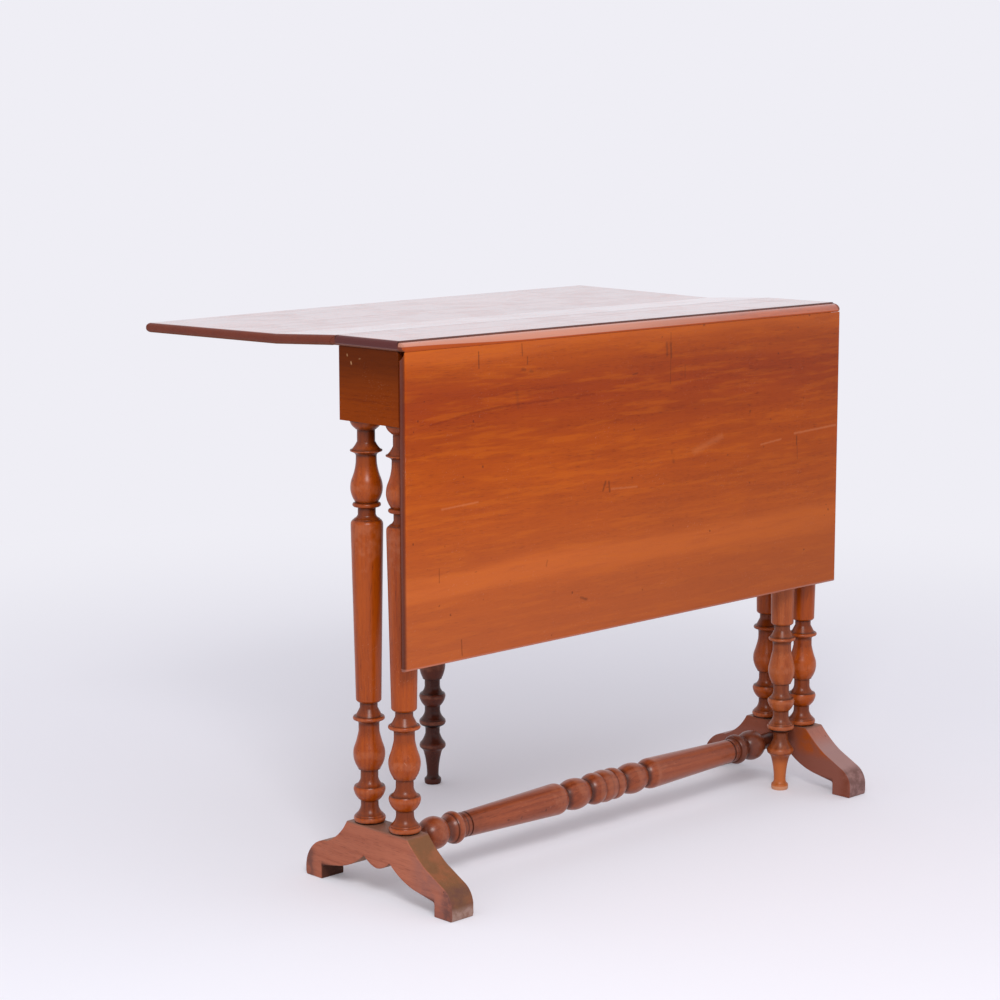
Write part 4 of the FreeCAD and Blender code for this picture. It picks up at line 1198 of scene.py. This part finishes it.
class TABLE_OT_swing_legs(bpy.types.Operator):
    """Turns the two swing legs and makes the pegs of their joints"""
    bl_idname = "table.swing_legs"
    bl_label = "Swing legs"

    def execute(self, context):
        colours = settings().colours
        pegs = peg_wood()
        front = leg_wood("Turned front leg", colours.front_leg, "front_swing_leg", bare_toe=True)
        rear = leg_wood("Turned rear leg", colours.rear_leg, "rear_swing_leg", bare_toe=False)
        for side, angle, material in (("front", 0.0, front), ("rear", OPEN_LEG, rear)):
            self.leg(side + "_swing_leg", angle, material)
            self.pegs(side + "_gate_pegs", angle, pegs)
        return {"FINISHED"}

    def leg(self, node_name, angle, material):
        sizes = settings().turning
        girth, neck = sizes.leg_radius / MM, sizes.neck_radius / MM
        middle = middle_of(node_name)
        block_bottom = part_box("left_end_block")[0].z
        block_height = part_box(node_name)[1].z - block_bottom
        bm = bmesh.new()
        turning = Turning(bm, 11.5)
        turning.curve(7.4, 12.1, 12.4)
        turning.curve(1.6, 10.4, 11.7)
        turning.curve(6.0, 8.6, 8.9)
        turning.curve(33.0, 13.2, 9.9)
        turning.curve(6.5, 18.2, 14.8)
        turning.curve(7.5, girth - 1.2, girth)
        turning.curve(15.0, 10.6, 13.2)
        turning.straight(7.0, 10.6)
        turning.cove(4.8, girth - 2.6)
        # The turning stops a little low, clear of the rails that it closes against.
        clear = 0.6
        column_members(turning, girth, neck, block_bottom / MM - clear, clear + TENON)
        spin_round(bm, sizes.around)
        block = bmesh.ops.create_cube(bm, size=1.0)["verts"]
        bmesh.ops.scale(bm, verts=block, vec=(LEG_BLOCK, LEG_BLOCK, block_height))
        bmesh.ops.translate(bm, verts=block, vec=(0.0, 0.0, block_bottom + block_height / 2))
        set_in_place(bm, (middle.x, middle.y, 0.0), angle, "Z")
        make_piece(bm, node_name + "_turned", material, node_name, sizes.arris)

    def pegs(self, node_name, angle, material):
        """Two pegs across the leg's block, standing a little proud of it."""
        low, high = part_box(node_name)
        middle = (low + high) / 2
        bm = bmesh.new()
        for height in (low.z + PEG_RADIUS, high.z - PEG_RADIUS):
            peg = bmesh.ops.create_cone(bm, cap_ends=True, segments=20, radius1=PEG_RADIUS,
                                        radius2=PEG_RADIUS, depth=LEG_BLOCK + 2 * PEG_PROUD)["verts"]
            lying = Matrix.Rotation(QUARTER_TURN, 3, "X")
            bmesh.ops.rotate(bm, verts=peg, cent=(0, 0, 0), matrix=lying)
            set_in_place(bm, (middle.x, middle.y, height), angle, "Z", peg)
        make_piece(bm, node_name + "_proud", material, node_name, 0.4 * MM)


class TABLE_OT_stretcher(bpy.types.Operator):
    """Turns the stretcher between the feet"""
    bl_idname = "table.stretcher"
    bl_label = "Stretcher"

    def execute(self, context):
        sizes = settings().turning
        girth = sizes.stretcher_radius / MM
        foot_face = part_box("right_foot")[0].x / MM
        # The middle bead stands a little to the right of the table's middle.
        off_middle = 3.0
        left = self.members(girth, 164.0, 6.2, 7.0, 21.0, (3.0, 3.2), foot_face + off_middle)
        right = self.members(girth, 166.0, 5.0, 4.2, 20.0, (3.2, 3.0), foot_face - off_middle)
        bm = bmesh.new()
        turning = Turning(bm, left[-1][1], -foot_face - TENON)
        for length, start, end, middle in reversed(left):
            turning.member(length, end, start, middle)
        for member in right:
            turning.member(*member)
        turning.close()
        spin_round(bm, sizes.around)
        set_in_place(bm, (0.0, 0.0, middle_of("stretcher").z), QUARTER_TURN, "Y")
        make_piece(bm, "stretcher_turned", stretcher_wood(), "stretcher", sizes.arris)
        return {"FINISHED"}

    def members(self, girth, taper, inner_cuff, outer_cuff, end_ring, quirk, length):
        """From the middle to one foot: length, start and end radius, and middle radius of each."""
        neck = STRETCHER_NECK
        cuff = 16.7
        end = 11.5
        members = [
            (12.0, 22.4, 20.3, 21.7),
            (21.0, 20.3, neck, girth),
            (2.5, neck, neck, None),
            (43.0, neck, neck, girth),
            (2.5, neck, neck, None),
            (15.0, neck, girth, 20.3),
            (taper, girth, cuff, None),
            (2.0, 15.1, 15.1, None),
            (inner_cuff, cuff, cuff, None),
            (0.8, 16.2, 16.2, None),
            (outer_cuff, cuff, cuff, None),
            (end_ring * 0.55, girth - 2.4, girth - 1.8, girth),
            (1.0, girth - quirk[0], girth - quirk[1], None),
            (end_ring * 0.45 - 1.0, girth - 2.2, neck, 16.3),
            (3.0, neck, neck, None),
            (36.0, neck, end, girth),
        ]
        used = sum(member[0] for member in members)
        return members + [(length - used + TENON, end, end, None)]


class TABLE_OT_feet(bpy.types.Operator):
    """Saws the two feet"""
    bl_idname = "table.feet"
    bl_label = "Feet"

    def execute(self, context):
        material = foot_wood()
        for node_name in ("left_foot", "right_foot"):
            low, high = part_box(node_name)
            bm = bmesh.new()
            self.half(bm, (0, -1, 0), self.straight_instep)
            self.half(bm, (0, 1, 0), self.curved_instep)
            bmesh.ops.remove_doubles(bm, verts=bm.verts, dist=SAME_POINT)
            bmesh.ops.contextual_create(bm, geom=bm.edges[:])
            bmesh.ops.translate(bm, verts=bm.verts, vec=(low.x, 0.0, 0.0))
            thick = bmesh.ops.extrude_face_region(bm, geom=bm.faces[:])
            moved = [item for item in thick["geom"] if isinstance(item, bmesh.types.BMVert)]
            bmesh.ops.translate(bm, verts=moved, vec=(high.x - low.x, 0.0, 0.0))
            bmesh.ops.recalc_face_normals(bm, faces=bm.faces)
            make_piece(bm, node_name + "_sawn", material, node_name, settings().sawn.foot_arris)
        return {"FINISHED"}

    def half(self, bm, across, instep):
        """From the middle of the foot's top, round one toe and its pad, to the tip of the pendant."""
        outline = Outline(bm, across, (0, 0, 1), (0.0, 88.8))
        outline.line((56.6, 88.8))
        instep(outline)
        outline.line((139.3, 5.0))
        outline.line((138.2, 0.0))
        outline.line((107.1, 0.0))
        outline.line((107.1, 15.5))
        outline.arc((106.07, 17.97), (103.6, 19.0), 0.6)
        outline.line((72.0, 25.0))
        outline.arc((49.0, 33.0), (24.0, 49.8))
        outline.arc((16.97, 43.8), (0.0, 37.8))

    def straight_instep(self, outline):
        outline.arc((74.0, 71.0), (92.0, 57.0))
        outline.line((124.0, 40.1))
        outline.arc((135.2, 29.5), (139.3, 14.7))

    def curved_instep(self, outline):
        outline.arc((74.0, 67.4), (99.0, 52.6))
        outline.arc((127.0, 39.9), (139.3, 13.0))


class TABLE_OT_ironmongery(bpy.types.Operator):
    """Finishes the hinges, pins and screws"""
    bl_idname = "table.ironmongery"
    bl_label = "Hinges, pins and screws"

    def execute(self, context):
        finish_nodes("flaps", old_metal("Tarnished brass", srgb(196, 164, 96), srgb(104, 78, 46), 0.6))
        finish_nodes(("hinge_pins", "gate_pin"),
                     old_metal("Dull steel", srgb(150, 148, 144), srgb(84, 74, 66), 0.5))
        finish_nodes("screws", old_metal("Screw steel", srgb(132, 128, 122), srgb(70, 58, 50), 0.55))
        return {"FINISHED"}


class TABLE_OT_stage(bpy.types.Operator):
    """Lays the floor and sets the lights and the camera"""
    bl_idname = "table.stage"
    bl_label = "Floor, lights and camera"

    def execute(self, context):
        stage = settings().stage
        context.scene.view_settings.view_transform = "Standard"
        self.floor(stage)
        context.scene.world = self.world(stage)
        self.key_light(context, stage)
        self.camera(context, stage)
        return {"FINISHED"}

    def floor(self, stage):
        bm = bmesh.new()
        bmesh.ops.create_circle(bm, cap_ends=True, segments=96, radius=stage.floor_radius)
        bmesh.ops.recalc_face_normals(bm, faces=bm.faces)
        mesh = bpy.data.meshes.new("Floor")
        bm.to_mesh(mesh)
        bm.free()
        floor = bpy.data.objects.new("Floor", mesh)
        bpy.context.collection.objects.link(floor)
        material, sheet, shader, output = new_material("Pale floor")
        place = sheet.node("TexCoord").outputs["Object"]
        shader.inputs["Specular IOR Level"].default_value = 0.1
        shader.inputs["Roughness"].default_value = 0.9
        mottle = sheet.times(sheet.noise(place, 3.0), 0.12)
        sheet.feed(shader.inputs["Base Color"], sheet.mix(mottle, stage.floor, srgb(226, 225, 232)))
        # Far from the table the floor passes into the backdrop for what looks at it. Near the table a
        # 0.15 share of that glow stays, as painted light that lifts the floor's shadows.
        glow = sheet.node("Emission", stage.backdrop)
        backdrop_glow = sheet.ramp(sheet.measure("LENGTH", place), 0.8, 2.6, 0.15)
        both = sheet.join(sheet.times(sheet.seen_directly(), backdrop_glow), shader.outputs[0], glow.outputs[0])
        sheet.feed(output.inputs[0], both)
        mesh.materials.append(material)

    def world(self, stage):
        """Even light all round, which looks like the backdrop."""
        world = bpy.data.worlds.new("Studio")
        world.use_nodes = True
        world.node_tree.nodes.clear()
        sheet = Sheet(world.node_tree)
        light = sheet.node("Background", srgb(250, 249, 255), stage.sky_level)
        shown = sheet.node("Background", stage.backdrop)
        both = sheet.join(sheet.seen_directly(), light.outputs[0], shown.outputs[0])
        sheet.feed(sheet.node("OutputWorld").inputs[0], both)
        return world

    def key_light(self, context, stage):
        light = bpy.data.lights.new("Key light", "AREA")
        light.shape = "SQUARE"
        light.size = stage.key_size
        light.energy = stage.key_power
        lamp = bpy.data.objects.new("Key light", light)
        context.scene.collection.objects.link(lamp)
        lamp.visible_camera = False
        lamp.location = stage.key_place
        aim = stage.key_target - lamp.location
        lamp.rotation_euler = aim.to_track_quat("-Z", "Y").to_euler()

    def camera(self, context, stage):
        camera = bpy.data.objects.new("Camera", bpy.data.cameras.new("Camera"))
        context.scene.collection.objects.link(camera)
        camera.data.sensor_width = 36.0
        camera.data.lens = stage.lens
        camera.location = stage.camera_place
        turned = (Matrix.Rotation(stage.camera_heading, 3, "Z")
                  @ Matrix.Rotation(stage.camera_pitch, 3, "X")
                  @ Matrix.Rotation(stage.camera_roll, 3, "Z"))
        camera.rotation_euler = turned.to_euler()
        context.scene.camera = camera


OPERATORS = (TABLE_OT_top, TABLE_OT_end_blocks, TABLE_OT_rails, TABLE_OT_columns, TABLE_OT_swing_legs,
             TABLE_OT_stretcher, TABLE_OT_feet, TABLE_OT_ironmongery, TABLE_OT_stage)


class TABLE_PT_pieces(bpy.types.Panel):
    """Lists what makes the table, and its sizes and colours"""
    bl_idname = "TABLE_PT_pieces"
    bl_label = "Drop-leaf table"
    bl_space_type = "VIEW_3D"
    bl_region_type = "UI"
    bl_category = "Table"

    def draw(self, context):
        for group in ("turning", "sawn", "colours", "stage"):
            box = self.layout.box()
            values = getattr(settings(), group)
            for name in values.__annotations__:
                box.prop(values, name)
        for operator in OPERATORS:
            self.layout.operator(operator.bl_idname)


CLASSES = (TurningSizes, SawnSizes, WoodColours, StageSettings, TableSettings) + OPERATORS + (
    TABLE_PT_pieces,)


def register():
    for kind in CLASSES:
        bpy.utils.register_class(kind)
    bpy.types.Scene.drop_leaf_table = PointerProperty(type=TableSettings)


def unregister():
    del bpy.types.Scene.drop_leaf_table
    for kind in reversed(CLASSES):
        bpy.utils.unregister_class(kind)


def main():
    register()
    bpy.ops.table.top()
    bpy.ops.table.end_blocks()
    bpy.ops.table.rails()
    bpy.ops.table.columns()
    bpy.ops.table.swing_legs()
    bpy.ops.table.stretcher()
    bpy.ops.table.feet()
    bpy.ops.table.ironmongery()
    bpy.ops.table.stage()


if __name__ == "__main__":
    main()
